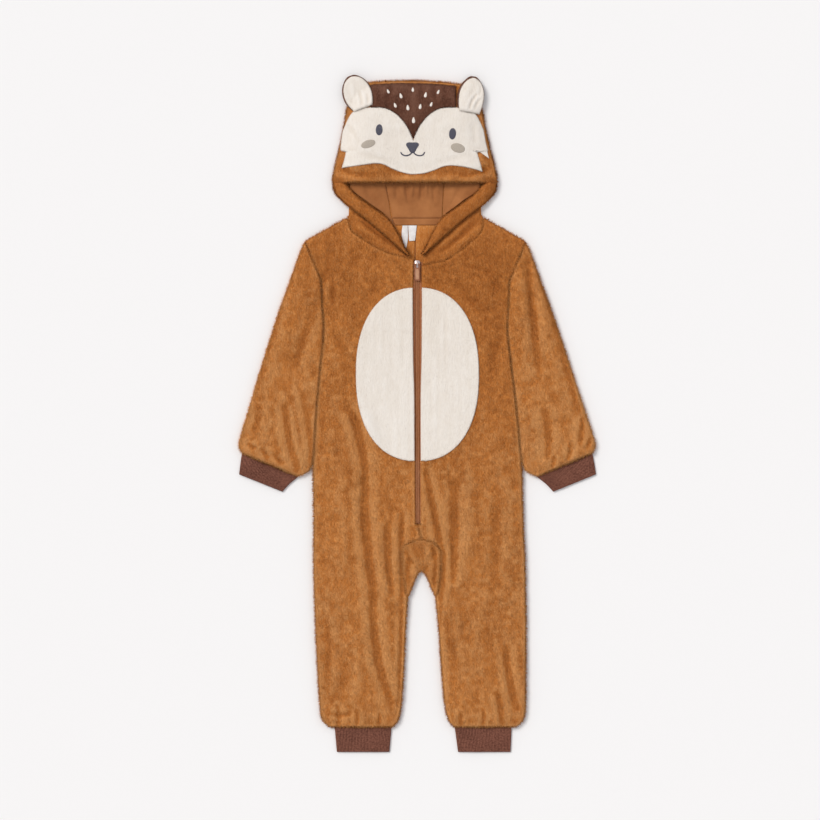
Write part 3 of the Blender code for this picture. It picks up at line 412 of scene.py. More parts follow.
def nap_group():
    """Pile colour and height: broad brushed patches, soft streaks, small clumps and bright tips."""
    group = bpy.data.node_groups.new("nap", "ShaderNodeTree")
    for name, kind, default in (
        ("Ground", "Color", (0.4, 0.16, 0.05, 1)), ("Deep", "Color", (0.2, 0.07, 0.02, 1)),
        ("Tip", "Color", (0.6, 0.3, 0.12, 1)), ("Patches", "Float", 0.5),
        ("Speckle", "Float", 0.3), ("Nap and painted light", "Float", 0.0),
    ):
        made = group.interface.new_socket(name, in_out="INPUT", socket_type=f"NodeSocket{kind}")
        made.default_value = default
    for name, kind in (("Color", "Color"), ("Roughness", "Float"), ("Height", "Float")):
        group.interface.new_socket(name, in_out="OUTPUT", socket_type=f"NodeSocket{kind}")
    inside, outside = group.nodes.new("NodeGroupInput").outputs, group.nodes.new("NodeGroupOutput").inputs
    place = object_place(group)

    def spots(scale, stretch, detail, low, high):
        squeezed = node(group, "Mapping", {"Scale": (1.0, stretch, 1.0), "Vector": place}).outputs["Vector"]
        made = noise(group, squeezed, scale, detail)
        return node(group, "MapRange", {"Value": made, "From Min": low, "From Max": high}).outputs["Result"]

    def times(a, b):
        return maths(group, "MULTIPLY", a, b)

    def blend(factor, a, b):
        made = node(group, "Mix", {"Factor": factor, "A": a, "B": b}, data_type="RGBA", clamp_factor=True)
        return made.outputs["Result"]

    patches, streaks = spots(20.0, 0.4, 3.0, 0.42, 0.70), spots(170.0, 0.16, 2.0, 0.42, 0.70)
    small, tips = spots(480.0, 0.28, 2.0, 0.36, 0.70), spots(900.0, 0.35, 1.0, 0.50, 0.78)
    down = maths(group, "ADD", times(patches, 0.42), times(streaks, 0.34))
    shade = times(maths(group, "ADD", down, times(small, 0.52)), inside["Patches"])
    colour = blend(shade, inside["Ground"], inside["Deep"])
    colour = blend(times(tips, inside["Speckle"]), colour, inside["Tip"])
    # stored tone: paler towards the tip, darker towards the deep colour, for the pile's lie and painted
    # light and shade
    colour = blend(times(inside["Nap and painted light"], 0.62), colour, inside["Tip"])
    put(group, outside["Color"], blend(times(inside["Nap and painted light"], -0.75), colour, inside["Deep"]))
    put(group, outside["Roughness"], maths(group, "SUBTRACT", 0.94, times(tips, 0.10)))
    put(group, outside["Height"], maths(group, "ADD", times(small, 0.65), times(tips, 0.35)))
    return group


NAP = nap_group()


def plush(name, ground, deep, tip, patches, speckle, sheen, relief=0.5):
    """A pile cloth: the nap group drives colour, roughness and relief, and a sheen lightens its edges."""
    stuff, tree = material(name)
    nap = tree.nodes.new("ShaderNodeGroup")
    nap.node_tree = NAP
    # the stored tone: the pile's lie, with painted highlight and painted shade
    pile_tone = node(tree, "Attribute", {}, attribute_name="pile_tone").outputs["Fac"]
    for socket, value in (
        ("Ground", (*ground, 1)), ("Deep", (*deep, 1)), ("Tip", (*tip, 1)), ("Patches", patches),
        ("Speckle", speckle), ("Nap and painted light", pile_tone),
    ):
        put(tree, nap.inputs[socket], value)
    finish(tree, {
        "Base Color": nap.outputs["Color"], "Roughness": nap.outputs["Roughness"], "Sheen Weight": sheen,
        "Sheen Roughness": 0.45, "Sheen Tint": (*tip, 1), "Specular IOR Level": 0.15,
    }, nap.outputs["Height"], relief, 0.0011)
    return stuff


TAN_PLUSH = plush(
    "tan_plush", (0.600, 0.214, 0.046), (0.300, 0.080, 0.012), (0.840, 0.455, 0.180), 0.58, 0.42, 0.20
)


def store_tones(made, tones):
    """Stores a tone at each point, above 0 pale and below 0 dark: how the pile lies, with painted highlight
    and painted shade. A shell's two faces share their tones."""
    tones = np.asarray(tones, np.float32).ravel()
    layer = made.data.attributes.new("pile_tone", "FLOAT", "POINT")
    layer.data.foreach_set("value", np.tile(tones, len(made.data.vertices) // len(tones)))


def panel(name, top, thickness, stuff, tones, flat, area, rests_on=(), **how):
    """A plush shell, toned as its tones say, with painted highlight and shade among them."""
    store_tones(cloth(f"{name}_plush", top, thickness, stuff, flat, area, rests_on, **how), tones)


def normals_of(top):
    du = np.gradient(top, axis=1)
    dv = np.gradient(top, axis=0)
    n = np.cross(du, dv)
    n /= np.maximum(np.linalg.norm(n, axis=2, keepdims=True), 1e-9)
    return n * np.where(n[..., 2:].mean() < 0, -1.0, 1.0)


# y, how the pile lies there: pressed darker on the chest, brushed paler down the legs
BRUSHED = ((-470, 0.16), (-200, 0.13), (0, 0.04), (110, -0.12), (230, -0.22), (300, -0.14), (420, 0.0))
# how much darker the cloth is right at a seam, as a painted shadow line, and how far in that reaches
SEAM_SHADE, SEAM_DEPTH = 1.7, 1.3


def tones_of(top, distance, edge_light=0.55, reach=3.2):
    """Painted highlight by seams and on ridges, painted shade in folds, deep brown painted shade in a seam.
    """
    z = top[:, :, 2]
    near = z.copy()
    for _ in range(6):
        padded = np.pad(near, 1, mode="edge")
        near = (padded[:-2, 1:-1] + padded[2:, 1:-1] + padded[1:-1, :-2] + padded[1:-1, 2:]) / 4
    # painted shade in folds and painted highlight on ridges, from how the face bends
    bend = np.clip((z - near) * 1.6, -0.5, 0.35) * np.clip(distance / 6, 0, 1)
    # painted highlight beside seams and edges, and a painted shadow line right in the seam
    light = edge_light * np.exp(-((distance / reach) ** 2))
    light = light - SEAM_SHADE * edge_light * np.exp(-((distance / SEAM_DEPTH) ** 2))
    pile_tone = smooth(BRUSHED, top[:, :, 1])
    return light + bend + pile_tone + 0.14 * clumps(top[:, :, 0], top[:, :, 1] * 0.5, 9.0, 5)


def pile(name, top, tones, rim, growth, stuff, seed, keep=None, lean=(0.0, -1.0), width=0.62):
    """The pile that stands on a panel: single tapering tufts, brushed one way and ruffled, paler at their
    tips. Along the panel's rim they lean out over the seam and hide it, as real pile does."""
    random = np.random.default_rng(seed)
    density, length = growth
    normal = normals_of(top)
    corners = [top[:-1, :-1], top[:-1, 1:], top[1:, 1:], top[1:, :-1]]
    area = np.linalg.norm(np.cross(corners[2] - corners[0], corners[3] - corners[1]), axis=2).ravel() / 2
    area *= 1 + 2.6 * np.exp(-((rim[0][:-1, :-1].ravel() / 2.0) ** 2))
    count = int(area.sum() * density)
    chosen = random.choice(len(area), count, p=area / area.sum())
    r, c = np.unravel_index(chosen, corners[0].shape[:2])
    u, v = random.random(count), random.random(count)

    def read(grid):
        a, b, d, e = grid[r, c], grid[r, c + 1], grid[r + 1, c + 1], grid[r + 1, c]
        s, t = (u, v) if grid.ndim == 2 else (u[:, None], v[:, None])
        return a * (1 - s) * (1 - t) + b * s * (1 - t) + d * s * t + e * (1 - s) * t

    root, up, tone, inset, out = read(top), read(normal), read(tones), read(rim[0]), read(rim[1])
    if keep is not None:
        kept = keep(root[:, 0], root[:, 1])
        root, up, tone, inset, out = root[kept], up[kept], tone[kept], inset[kept], out[kept]
    count = len(root)
    over = np.exp(-((inset / 2.2) ** 2))[:, None]
    swirl = clumps(root[:, 0], root[:, 1], 26.0, seed + 1)
    way = np.stack([lean[0] + 0.55 * swirl, np.full(count, lean[1]), np.zeros(count)], axis=1)
    way[:, :2] = way[:, :2] * (1 - 0.8 * over) + 1.2 * out * over
    way += 0.32 * random.normal(size=(count, 3))
    stand = up * (1 - over) + np.array((0.0, 0.0, 1.0)) * over
    grow = 0.74 * way / np.linalg.norm(way, axis=1, keepdims=True) + 0.42 * stand
    grow /= np.linalg.norm(grow, axis=1, keepdims=True)
    wide = np.cross(grow, up)
    wide /= np.maximum(np.linalg.norm(wide, axis=1, keepdims=True), 1e-9)
    long = length * random.uniform(0.65, 1.2, (count, 1)) * (1 + 0.3 * over)
    foot = root - 0.35 * up
    points = np.stack([foot - wide * width / 2, foot + wide * width / 2, root + grow * long], axis=1)
    points = points.reshape(-1, 3)
    points[:, 2] = np.maximum(points[:, 2], 0.2)
    faces = np.arange(3 * count).reshape(-1, 3)
    made = make_piece(f"{name}_pile", points, faces.tolist(), stuff)
    soft = up + 0.25 * grow
    soft /= np.linalg.norm(soft, axis=1, keepdims=True)
    made.data.normals_split_custom_set_from_vertices(np.repeat(soft, 3, axis=0).tolist())
    own = tone + random.normal(0.0, 0.24, count) + 0.10 * over[:, 0]
    store_tones(made, np.stack([own - 0.12, own - 0.12, own + 0.20], axis=1))


def fluff(x, y, distance):
    """The uneven surface that the pile gives a panel."""
    soft = np.clip(distance / 5, 0.35, 1)
    return soft * (0.42 * clumps(x, y * 0.8, 15.0, 11) + 0.26 * clumps(x, y, 7.0, 12))


# how far cloth turns in at a free edge and at a seam, and how thick its shell is under the pile
FREE_ROLL, SEAM_ROLL, SHELL = 2.4, 1.1, 2.2
# tufts on a square millimetre, and how long they are
BODY_PILE, SLEEVE_PILE, GUSSET_PILE = (0.86, 3.4), (0.88, 3.4), (1.1, 3.2)
HOOD_PILE, EDGE_PILE = (0.95, 3.2), (0.95, 2.8)
fine_rows = [-188.9, -189.2, -189.7, -190.4, -191.4, -192.8, -194.6, -166.6, -167.6, -168.0, -168.4]
hem_rows = [HEM_Y + d for d in (0, 0.5, 1.3, 2.4, 4.0)]
BELLY_Y, BELLY_HALF_WIDTH, BELLY_HALF_HEIGHT, BELLY_FULLNESS = 57.8, 92.0, 129.8, 2.3


def in_belly(x, y, grow=0.0):
    """True inside the cream oval, or inside it grown by some millimetres."""
    across_it = np.abs(x - smooth(INNER_LINE, y)) / (BELLY_HALF_WIDTH + grow)
    up_it = np.abs(y - BELLY_Y) / (BELLY_HALF_HEIGHT + grow)
    return across_it**BELLY_FULLNESS + up_it**BELLY_FULLNESS < 1


def front_face(x, y, side):
    """The front's outer face without its pile: the cloth over its layer of air, lowered along its folds."""
    folded = np.maximum(body_air(x, y, side) + creases(x, y, FRONT_CREASES[side]), -0.6)
    return FLOOR_LAYER + PLUSH + folded


def front_roll(x, y):
    """Panels turn in round at their free edges, and only a little where another panel is sewn on."""
    upper = np.clip((y - UNDERARM_Y + 8) / 20, 0, 1)
    middle = np.abs(x - smooth(INNER_LINE, y)) < GUSSET_HALF_WIDTH + 4
    middle = middle & (y < ZIP_FOOT_Y) & (y > GUSSET_END_Y)
    return FREE_ROLL + (SEAM_ROLL - FREE_ROLL) * np.maximum(upper, middle)


for side, word in SIDES.items():
    neck_low = NECK_SEAM[side][0][0]
    ys = [np.arange(291.4, neck_low, -1.6), np.arange(neck_low, HEM_Y + 5, -2.7), fine_rows, hem_rows]
    ys = np.unique(np.round(np.concatenate(ys), 2))[::-1]
    outer, inner = centre(ys) + side * side_edge(ys), front_inner_x(ys, side)
    x = outer[:, None] - side * across(side * (outer - inner), 2.75)
    y = np.broadcast_to(ys[:, None], x.shape)
    distance, outward = rim_distance(x, y)
    z = front_face(x, y, side) + fluff(x, y, distance) - roll(distance, front_roll(x, y))
    top = np.stack([x, y, z], axis=2)
    tones = tones_of(top, distance)
    if side > 0:
        tones = tones - 0.22 * np.clip((y + 60) / 90, 0, 1)
    panel(f"front_{word}", top, SHELL, TAN_PLUSH, tones, (0.17, 0.765), 0.105, [f"back_{word}"])

    # along the belly's outline too, the pile leans in over the cream
    off_x, off_y = (x - smooth(INNER_LINE, y)) / BELLY_HALF_WIDTH, (y - BELLY_Y) / BELLY_HALF_HEIGHT
    size = (np.abs(off_x) ** BELLY_FULLNESS + np.abs(off_y) ** BELLY_FULLNESS) ** (1 / BELLY_FULLNESS)
    pull = np.stack([-off_x / BELLY_HALF_WIDTH, -off_y / BELLY_HALF_HEIGHT], axis=2)
    pull /= np.maximum(np.linalg.norm(pull, axis=2, keepdims=True), 1e-9)
    gap = np.abs(size - 1) * np.hypot(x - smooth(INNER_LINE, y), y - BELLY_Y) / np.maximum(size, 0.01)
    near = (gap < distance) & (gap < 8)
    to_seam = np.where(near, gap, distance), np.where(near[..., None], pull, outward)

    def bare(px, py, side=side):
        beside_zip = side * (px - smooth(INNER_LINE, py)) < smooth(ZIP_OPENING, py) + 1.2
        return ~(in_belly(px, py, -1.0) | (beside_zip & (py > ZIP_FOOT_Y)))

    pile(f"front_{word}", top, tones, to_seam, BODY_PILE, TAN_PLUSH, 21 + side, keep=bare)


# Backs: the same plush, two pieces joined down the middle of the back. They lie flat on the table under the
# fronts, and what shows of their inner face, below the neck tape, is the knitted ground of the cloth.
BACK_INSET, BACK_LEVEL, BACK_SHELL, BACK_ROLL = 0.4, 2.95, 2.85, 1.6
# share of the way in from the side, rise of the shoulder and back neck there
BACK_TOP = (
    (0.0, 0.0), (0.01, 0.8), (0.03, 2.2), (0.25, 22.0), (0.42, 35.6), (0.6, 33.5), (0.8, 31.3), (1.0, 30.5),
)
# y, half of the gap where the legs part, as the crotch seam runs
CROTCH = (
    (-328.5, 25.5), (-292.5, 22.3), (-274.5, 19.8), (-256.5, 12.7), (-244.0, 7.5), (-238.0, 3.5),
    (-236.0, 0.15),
)
for side, word in SIDES.items():
    ys = np.unique(np.round(np.concatenate([
        np.linspace(SHOULDER_TIP_Y, UNDERARM_Y, 22), np.arange(UNDERARM_Y, HEM_Y + 5, -5.0), hem_rows,
        [-234, -235, -236, -237, -238.5, -241],
    ]), 2))[::-1]
    gap = np.where(ys > CROTCH[0][0], smooth(CROTCH, ys), smooth(INSEAM, ys))
    middle = np.where(ys < GUSSET_TOP_Y, smooth(INNER_LINE, ys) + side * gap, centre(ys) + side * SEAM / 2)
    outer = centre(ys) + side * (side_edge(ys) - BACK_INSET)
    steps = across(side * (outer - middle), 5.0, rim=(0.0, 0.5, 1.4, 3.0))
    x = outer[:, None] - side * steps
    share = steps / steps[:, -1:]
    bend = np.clip((ys - UNDERARM_Y) / (SHOULDER_TIP_Y - UNDERARM_Y), 0, 1)[:, None]
    y = ys[:, None] + (smooth(BACK_TOP, share) - 0.6) * bend
    distance, outward = rim_distance(x, y)
    top = np.stack([x, y, BACK_LEVEL - roll(distance, BACK_ROLL)], axis=2)
    tones = tones_of(top, distance, edge_light=0.2)
    panel(f"back_{word}", top, BACK_SHELL, TAN_PLUSH, tones, (0.17, 0.765), 0.108)


# Crotch gusset: an arch of the same plush let in between the legs. It falls away from its seam with the
# fronts to the crotch seam on the table.
# outer x, outer y, inner x, inner y: lines across one half of the arch, from its tail to beside its top
GUSSET_HALF = (
    (22.8, -272.0, 20.4, -274.0), (24.3, -263.0, 16.3, -265.0), (26.2, -248.0, 10.5, -250.5),
    (27.7, -226.0, 6.2, -241.5), (27.9, -207.0, 3.2, -238.0), (19.9, -194.5, 1.6, -236.6),
)
lines = [(-a, b, -c, d) for a, b, c, d in GUSSET_HALF]
lines += [(0, -189.4, 0, -236.3), *reversed(GUSSET_HALF)]
arch = [(k, *line) for k, line in enumerate(lines)]
k = np.linspace(0, len(arch) - 1, 76)
ox, oy, ix, iy = (smooth(arch, k, column)[:, None] for column in (1, 2, 3, 4))
share = np.array((0, 0.015, 0.04, 0.08, 0.14, 0.22, 0.32, 0.44, 0.56, 0.68, 0.8, 0.9, 0.96, 1.0))[None, :]
y = oy + (iy - oy) * share
x = smooth(INNER_LINE, y) + ox + (ix - ox) * share
side_of = np.where(ox < 0, -1, 1)
edge_level = np.where(side_of < 0, front_face(x[:, :1], y[:, :1], -1), front_face(x[:, :1], y[:, :1], 1))
distance, outward = rim_distance(x, y)
GUSSET_CREASES = ((19, -196, 26, -222, 23, -262, 1.6, 4.0), (-16, -215, -15, -235, -19, -258, 1.2, 5.0))
level = edge_level + (FLOOR_LAYER + PLUSH - edge_level) * share**2
z = level + creases(x, y, GUSSET_CREASES) + fluff(x, y, distance) - roll(distance, SEAM_ROLL)
gusset_top = np.stack([x, y, z], axis=2)
tones = tones_of(gusset_top, distance, edge_light=0.6) - 0.10
backs = ["back_left", "back_right"]
panel("crotch_gusset", gusset_top, SHELL, TAN_PLUSH, tones, (0.07, 0.09), 0.0041, backs)
pile("crotch_gusset", gusset_top, tones, (distance, outward), GUSSET_PILE, TAN_PLUSH, 31)


# Sleeves: each cut in one piece of the same plush and sewn into a tube, set into the armhole between front
# and back. They lie flat, with soft folds across them where the arm hangs from the shoulder.
SLEEVE_AIR, SLEEVE_STEP = 3.2, 2.8
# outer x, outer y, clearance from the side seam, inner y, share of the full loft: lines across a sleeve
SLEEVE_SECTIONS = (
    (165.4, 256.6, 0.8, 199.2, 0.70), (173.0, 240.0, 0.6, 181.0, 0.85), (183.0, 211.5, 0.6, 158.0, 1.0),
    (192.5, 185.0, 0.5, 136.0, 1.0), (202.5, 157.5, 0.6, 108.0, 1.0), (220.5, 103.5, 0.6, 60.0, 1.0),
    (237.7, 49.5, 0.6, 8.0, 1.0), (254.5, -4.5, 0.6, -40.0, 1.0), (264.0, -34.0, 0.8, -66.0, 1.0),
    (267.0, -48.0, 4.4, -83.0, 0.95), (265.5, -54.5, 13.6, -91.0, 0.8), (262.5, -59.5, 23.0, -94.5, 0.3),
)
SLEEVE_CREASES = {
    -1: (
        (-198, 20, -192, -40, -176, -88, 3.2, 6.5), (-186, 46, -172, -20, -166, -82, -1.8, 7.0),
        (-236, 30, -240, -10, -246, -46, 0.9, 10.0), (-150, 172, -168, 120, -186, 60, 1.5, 10.0),
        (-196, 176, -206, 120, -226, 40, -1.2, 13.0), (-233, -50, -229, -60, -221, -68, 2.0, 5.0),
        (-214, -62, -208, -70, -196, -75, 1.4, 4.5), (-254, -44, -248, -50, -240, -52, 1.5, 4.5),
    ),
    1: (
        (163, 240, 170, 170, 183, 44, 3.2, 8.0), (184, 205, 196, 140, 212, 50, -1.3, 12.0),
        (246, -6, 246, -24, 242, -48, 1.5, 5.0), (228, -44, 228, -58, 222, -70, 1.6, 4.5),
        (202, -64, 204, -72, 199, -82, 1.2, 4.0), (258, -36, 257, -44, 252, -54, 1.3, 4.0),
        (186, 16, 196, -30, 192, -70, 1.4, 8.0), (222, 90, 232, 40, 244, -10, 1.1, 10.0),
    ),
}


def line_distance(x, y, line):
    """How far each point of a grid lies from a line of points."""
    best = np.full(x.shape, 1e9)
    for (ax, ay), (bx, by) in zip(line[:-1], line[1:]):
        dx, dy = bx - ax, by - ay
        s = np.clip(((x - ax) * dx + (y - ay) * dy) / max(dx * dx + dy * dy, 1e-9), 0, 1)
        best = np.minimum(best, np.hypot(x - ax - s * dx, y - ay - s * dy))
    return best


def tube_rings(sections, t, side, wall_thick, loft_full, step, shape, thickness):
    """Outer and inner rings of a flattened tube, and how many points of each ring are on its upper face."""
    rows = [(k, *row) for k, row in enumerate(sections)]
    ax, ay, bx, by, share = (smooth(rows, t, column)[:, None] for column in range(1, 6))
    ax, bx = centre(ay) + side * ax, centre(by) + side * bx
    width = np.hypot(bx - ax, by - ay)
    half = wall_thick + SEAM / 2
    curve = [half * (1 - math.cos(math.radians(a))) for a in (0, 18, 36, 54, 72, 90)]
    count = int((float(width.max()) - 2 * half) / step)
    inside = half + (width - 2 * half) * (np.arange(1, count) / count)[None, :]
    rim = np.repeat(np.array(curve)[None, :], len(t), axis=0)
    s = np.concatenate([rim, inside, width - rim[:, ::-1]], axis=1)
    inward = np.minimum(s, width - s)
    rounding = np.sqrt(np.maximum(half**2 - (half - np.minimum(inward, half)) ** 2, 0))
    x, y = ax + (bx - ax) * s / width, ay + (by - ay) * s / width
    upper = half + rounding + loft_full * share * rise(inward, 0.32 * width)
    upper = np.maximum(upper + shape(x, y, inward), half + 0.5 * rounding)
    lower = half - rounding
    small = (width - 2 * thickness) / width
    inner_s = thickness + s * small
    inner_x, inner_y = ax + (bx - ax) * inner_s / width, ay + (by - ay) * inner_s / width
    inner_upper = np.maximum(half + 0.1, upper - thickness)
    inner_lower = np.minimum(half - 0.1, lower + thickness)

    def rings(px, py, high, low):
        faces = np.stack([px, py, high], axis=2)[:, :-1], np.stack([px, py, low], axis=2)[:, :0:-1]
        return np.concatenate(faces, axis=1)

    inner = rings(inner_x, inner_y, inner_upper, inner_lower)
    return rings(x, y, upper, lower), inner, s.shape[1]


def cloth_tube(name, outer, inner, stuff):
    """A tube of cloth from its rings, closed at both ends, that stands for its solid and hides it."""
    sections, around = outer.shape[:2]
    index = np.arange(sections * around).reshape(sections, around)
    turned = np.roll(index, -1, axis=1)
    quads = np.stack([index[:-1], turned[:-1], turned[1:], index[1:]], axis=-1).reshape(-1, 4)
    shift = sections * around
    ends = [
        np.stack([turned[0], index[0], index[0] + shift, turned[0] + shift], axis=-1),
        np.stack([index[-1], turned[-1], turned[-1] + shift, index[-1] + shift], axis=-1),
    ]
    across_it, down_it = outer[0, 3] - outer[0, 2], outer[1, 2] - outer[0, 2]
    faces = np.concatenate([quads, quads[:, ::-1] + shift, *ends])
    if np.cross(across_it, down_it)[2] < 0:
        faces = faces[:, ::-1]
    points = np.concatenate([outer.reshape(-1, 3), inner.reshape(-1, 3)])
    made = make_piece(name, points, faces.tolist(), stuff)
    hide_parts(solid_of(name))
    return made


for side, word in SIDES.items():
    lines = [(ox, oy, float(side_edge(iy)) + off, iy, loft) for ox, oy, off, iy, loft in SLEEVE_SECTIONS]
    t = np.concatenate([
        np.array((0, 0.03, 0.07, 0.13, 0.2, 0.3)), np.arange(0.4, 3, 0.1), np.arange(3, 8, 0.068),
        np.arange(8, 11, 0.08), np.array((11.0,)),
    ])
    first, last = (
        [(centre(row[1]) + side * row[0], row[1]), (centre(row[3]) + side * row[2], row[3])]
        for row in (lines[0], lines[-1])
    )

    def sleeve_face(x, y, inward, side=side, first=first, last=last):
        ends = np.minimum(line_distance(x, y, first), line_distance(x, y, last))
        both = np.minimum(ends, inward)
        folds = creases(x, y, SLEEVE_CREASES[side]) * np.clip(inward / 8, 0, 1)
        at_hem = roll(line_distance(x, y, last), FREE_ROLL)
        return folds + fluff(x, y, both) - np.maximum(roll(line_distance(x, y, first), SEAM_ROLL), at_hem)

    outer, inner, face = tube_rings(lines, t, side, PLUSH, SLEEVE_AIR, SLEEVE_STEP, sleeve_face, SHELL)
    made = cloth_tube(f"sleeve_{word}_plush", outer, inner, TAN_PLUSH)
    ends = line_distance(outer[..., 0], outer[..., 1], first)
    ends = np.minimum(ends, line_distance(outer[..., 0], outer[..., 1], last))
    lane = np.arange(outer.shape[1])
    across_share = np.minimum(lane, face - 1 - lane)[None, :] * SLEEVE_STEP
    tones = tones_of(outer, np.minimum(ends, np.maximum(across_share, 0) + 1.5)) + 0.16
    store_tones(made, np.concatenate([tones.ravel(), np.zeros(inner[..., 0].size)]))
    shown, tones = np.roll(outer, 2, axis=1)[:, :face + 4], np.roll(tones, 2, axis=1)[:, :face + 4]
    rim = rim_distance(shown[..., 0], shown[..., 1])
    lean = side * 0.35, -0.94
    pile(f"sleeve_{word}", shown, tones, rim, SLEEVE_PILE, TAN_PLUSH, 41 + side, lean=lean)


# Cuffs: dark brown rib knit, doubled, sewn inside the end of each sleeve and leg. Their ribs run lengthwise
# and draw the plush in at the seam.
RIB, RIB_AIR, RIB_PITCH, RIB_RISE = 2.0, 1.6, 2.3, 0.22
# outer x, outer y, inner x, inner y, share of the full loft
SLEEVE_CUFF_SECTIONS = (
    (262.3, -60.0, 178.9, -95.0, 0.3), (263.4, -64.0, 182.0, -98.2, 0.6),
    (265.6, -78.0, 192.6, -106.8, 0.5), (267.5, -92.0, 203.0, -118.0, 0.3),
)
LEG_CUFF_SECTIONS = (
    (133.0, -470.0, 47.0, -470.0, 0.3), (132.4, -474.0, 47.6, -474.0, 0.6),
    (131.4, -490.0, 49.4, -490.0, 0.5), (130.2, -508.0, 51.4, -508.0, 0.3),
)


def rib_knit():
    """Rib knit: rows of stitches along each rib, painted shade between the ribs, with a slightly fuzzy face.
    """
    stuff, tree = material("rib_knit")
    place = object_place(tree)
    rib, along, crest = (
        node(tree, "Attribute", {}, attribute_name=field).outputs["Fac"]
        for field in ("rib", "along", "crest")
    )
    stitch = maths(tree, "SINE", maths(tree, "MULTIPLY_ADD", along, 4.8, rib))
    height = maths(tree, "MULTIPLY_ADD", stitch, 0.07, noise(tree, place, 420.0, 3.0))
    # the rib crests painted paler and the grooves between them darker: painted shade
    lift = maths(tree, "SUBTRACT", maths(tree, "MULTIPLY_ADD", crest, 0.22, height), 0.11)
    tone = maths(tree, "MULTIPLY_ADD", noise(tree, place, 38.0), 0.35, lift)
    finish(tree, {
        "Base Color": ramp(tree, tone, 0.30, (0.070, 0.022, 0.013), 0.86, (0.265, 0.103, 0.066)),
        "Roughness": 0.88, "Sheen Weight": 0.18, "Sheen Roughness": 0.5, "Sheen Tint": (0.5, 0.3, 0.22, 1),
        "Specular IOR Level": 0.2,
    }, height, 0.45, 0.0006)
    return stuff


RIB_KNIT = rib_knit()


def cuff(name, sections, side):
    t = np.concatenate([np.linspace(0, 1, 4), np.linspace(1, 3, 15)[1:-2], [2.86, 2.93, 2.97, 3.0]])
    outer_x, outer_y, inner_x, inner_y, _ = sections[-1]
    hem = [(centre(outer_y) + side * outer_x, outer_y), (centre(inner_y) + side * inner_x, inner_y)]

    def ribs(x, y, inward):
        wide = np.hypot(x[:, :1] - x[:, -1:], y[:, :1] - y[:, -1:])
        count = round(float(wide.max()) / RIB_PITCH)
        share = np.hypot(x - x[:, :1], y - y[:, :1]) / wide
        wales = np.cos(2 * math.pi * count * share)
        waver = 0.5 * clumps(x, y, 16.0, 7)
        fold = -roll(line_distance(x, y, hem), 2.0) * 0.6
        return RIB_RISE * wales * np.clip(inward / 2, 0, 1) + waver * np.clip(inward / 10, 0, 1) + fold

    outer, inner, face = tube_rings(sections, t, side, RIB, RIB_AIR, 0.62, ribs, 1.5)
    made = cloth_tube(f"{name}_knit", outer, inner, RIB_KNIT)
    a, b = outer[:, :1], outer[:, face - 1:face]
    wide = np.linalg.norm((b - a)[..., :2], axis=2)
    count = round(float(wide.max()) / RIB_PITCH)
    phase = 2 * math.pi * count * np.linalg.norm((outer - a)[..., :2], axis=2) / wide
    down = np.linalg.norm(outer - outer[:1], axis=2)
    for field, values in (("rib", phase), ("along", down), ("crest", np.cos(phase))):
        layer = made.data.attributes.new(field, "FLOAT", "POINT")
        layer.data.foreach_set("value", np.tile(values.ravel().astype(np.float32), 2))


for side, word in SIDES.items():
    cuff(f"sleeve_cuff_{word}", SLEEVE_CUFF_SECTIONS, side)
    cuff(f"leg_cuff_{word}", LEG_CUFF_SECTIONS, side)


# Hood: a plush crown over a plush back, filled out a little by the lining, so its front stands up from both
# sides and from the fold at the top. The front ends in a rolled brow edge over the face opening.
HOOD_AIR, BROW_Y, HOOD_TOP_Y, HOOD_SIDE_TOP_Y, NECK_DIP = 10.5, 345.0, 497.6, 493.5, 5.4
# y, half width of the hood's outline
HOOD_OUTLINE = (
    (293.0, 100.2), (308.0, 99.3), (315.0, 107.0), (324.0, 115.5), (334.0, 121.5), (345.0, 123.3),
    (369.0, 119.6), (399.0, 112.0), (436.5, 104.3), (454.5, 101.5), (474.0, 95.0), (484.0, 89.0),
    (493.5, 79.5),
)
# y, how much a line across the hood follows the arched fold at its top
ARCH_SHARE = (
    (293.0, 0.0), (434.0, 0.0), (450.0, 0.2), (466.0, 0.5), (480.0, 0.8), (489.5, 1.0), (493.5, 1.0),
)
HOOD_CREASES = (
    (-118, 372, -102, 360, -70, 356, 1.2, 6.0), (112, 376, 96, 362, 60, 355, 1.1, 6.0),
    (-60, 352, 0, 350, 70, 353, -1.3, 8.0), (-108, 440, -103, 420, -108, 398, 1.0, 6.0),
    (97, 452, 100, 425, 108, 400, 1.0, 6.0), (-40, 496, -42, 480, -50, 468, 1.2, 6.0),
    (20, 497, 24, 482, 20, 470, 1.0, 6.0), (60, 492, 58, 478, 64, 466, 1.0, 5.0),
)


def hood_x(y, side):
    return centre(y) + side * smooth(HOOD_OUTLINE, y)


def hood_top_y(x):
    """The crown's fold: gently arched, and lower on the wearer's left."""
    off = (x - centre(HOOD_TOP_Y)) / 82
    return HOOD_TOP_Y - 5.2 * off * off - 1.4 * off


def hood_face(x, y):
    """Outer face of the hood's front, without its pile. It rises from both sides and from the top."""
    sides = np.minimum(x - hood_x(y, -1), hood_x(y, 1) - x)
    loft = HOOD_AIR * rise(sides, 42) * rise(hood_top_y(x) - y, 60)
    return FLOOR_LAYER + PLUSH + loft + creases(x, y, HOOD_CREASES) * rise(sides, 20)


def hood_rows(ys, inset, step):
    """A grid as wide as the hood's outline, whose top lines follow the arched fold."""
    left, right = hood_x(ys, -1) + inset, hood_x(ys, 1) - inset
    x = left[:, None] + across(right - left, step)
    y = ys[:, None] + (hood_top_y(x) - HOOD_SIDE_TOP_Y) * smooth(ARCH_SHARE, ys)[:, None]
    return x, y


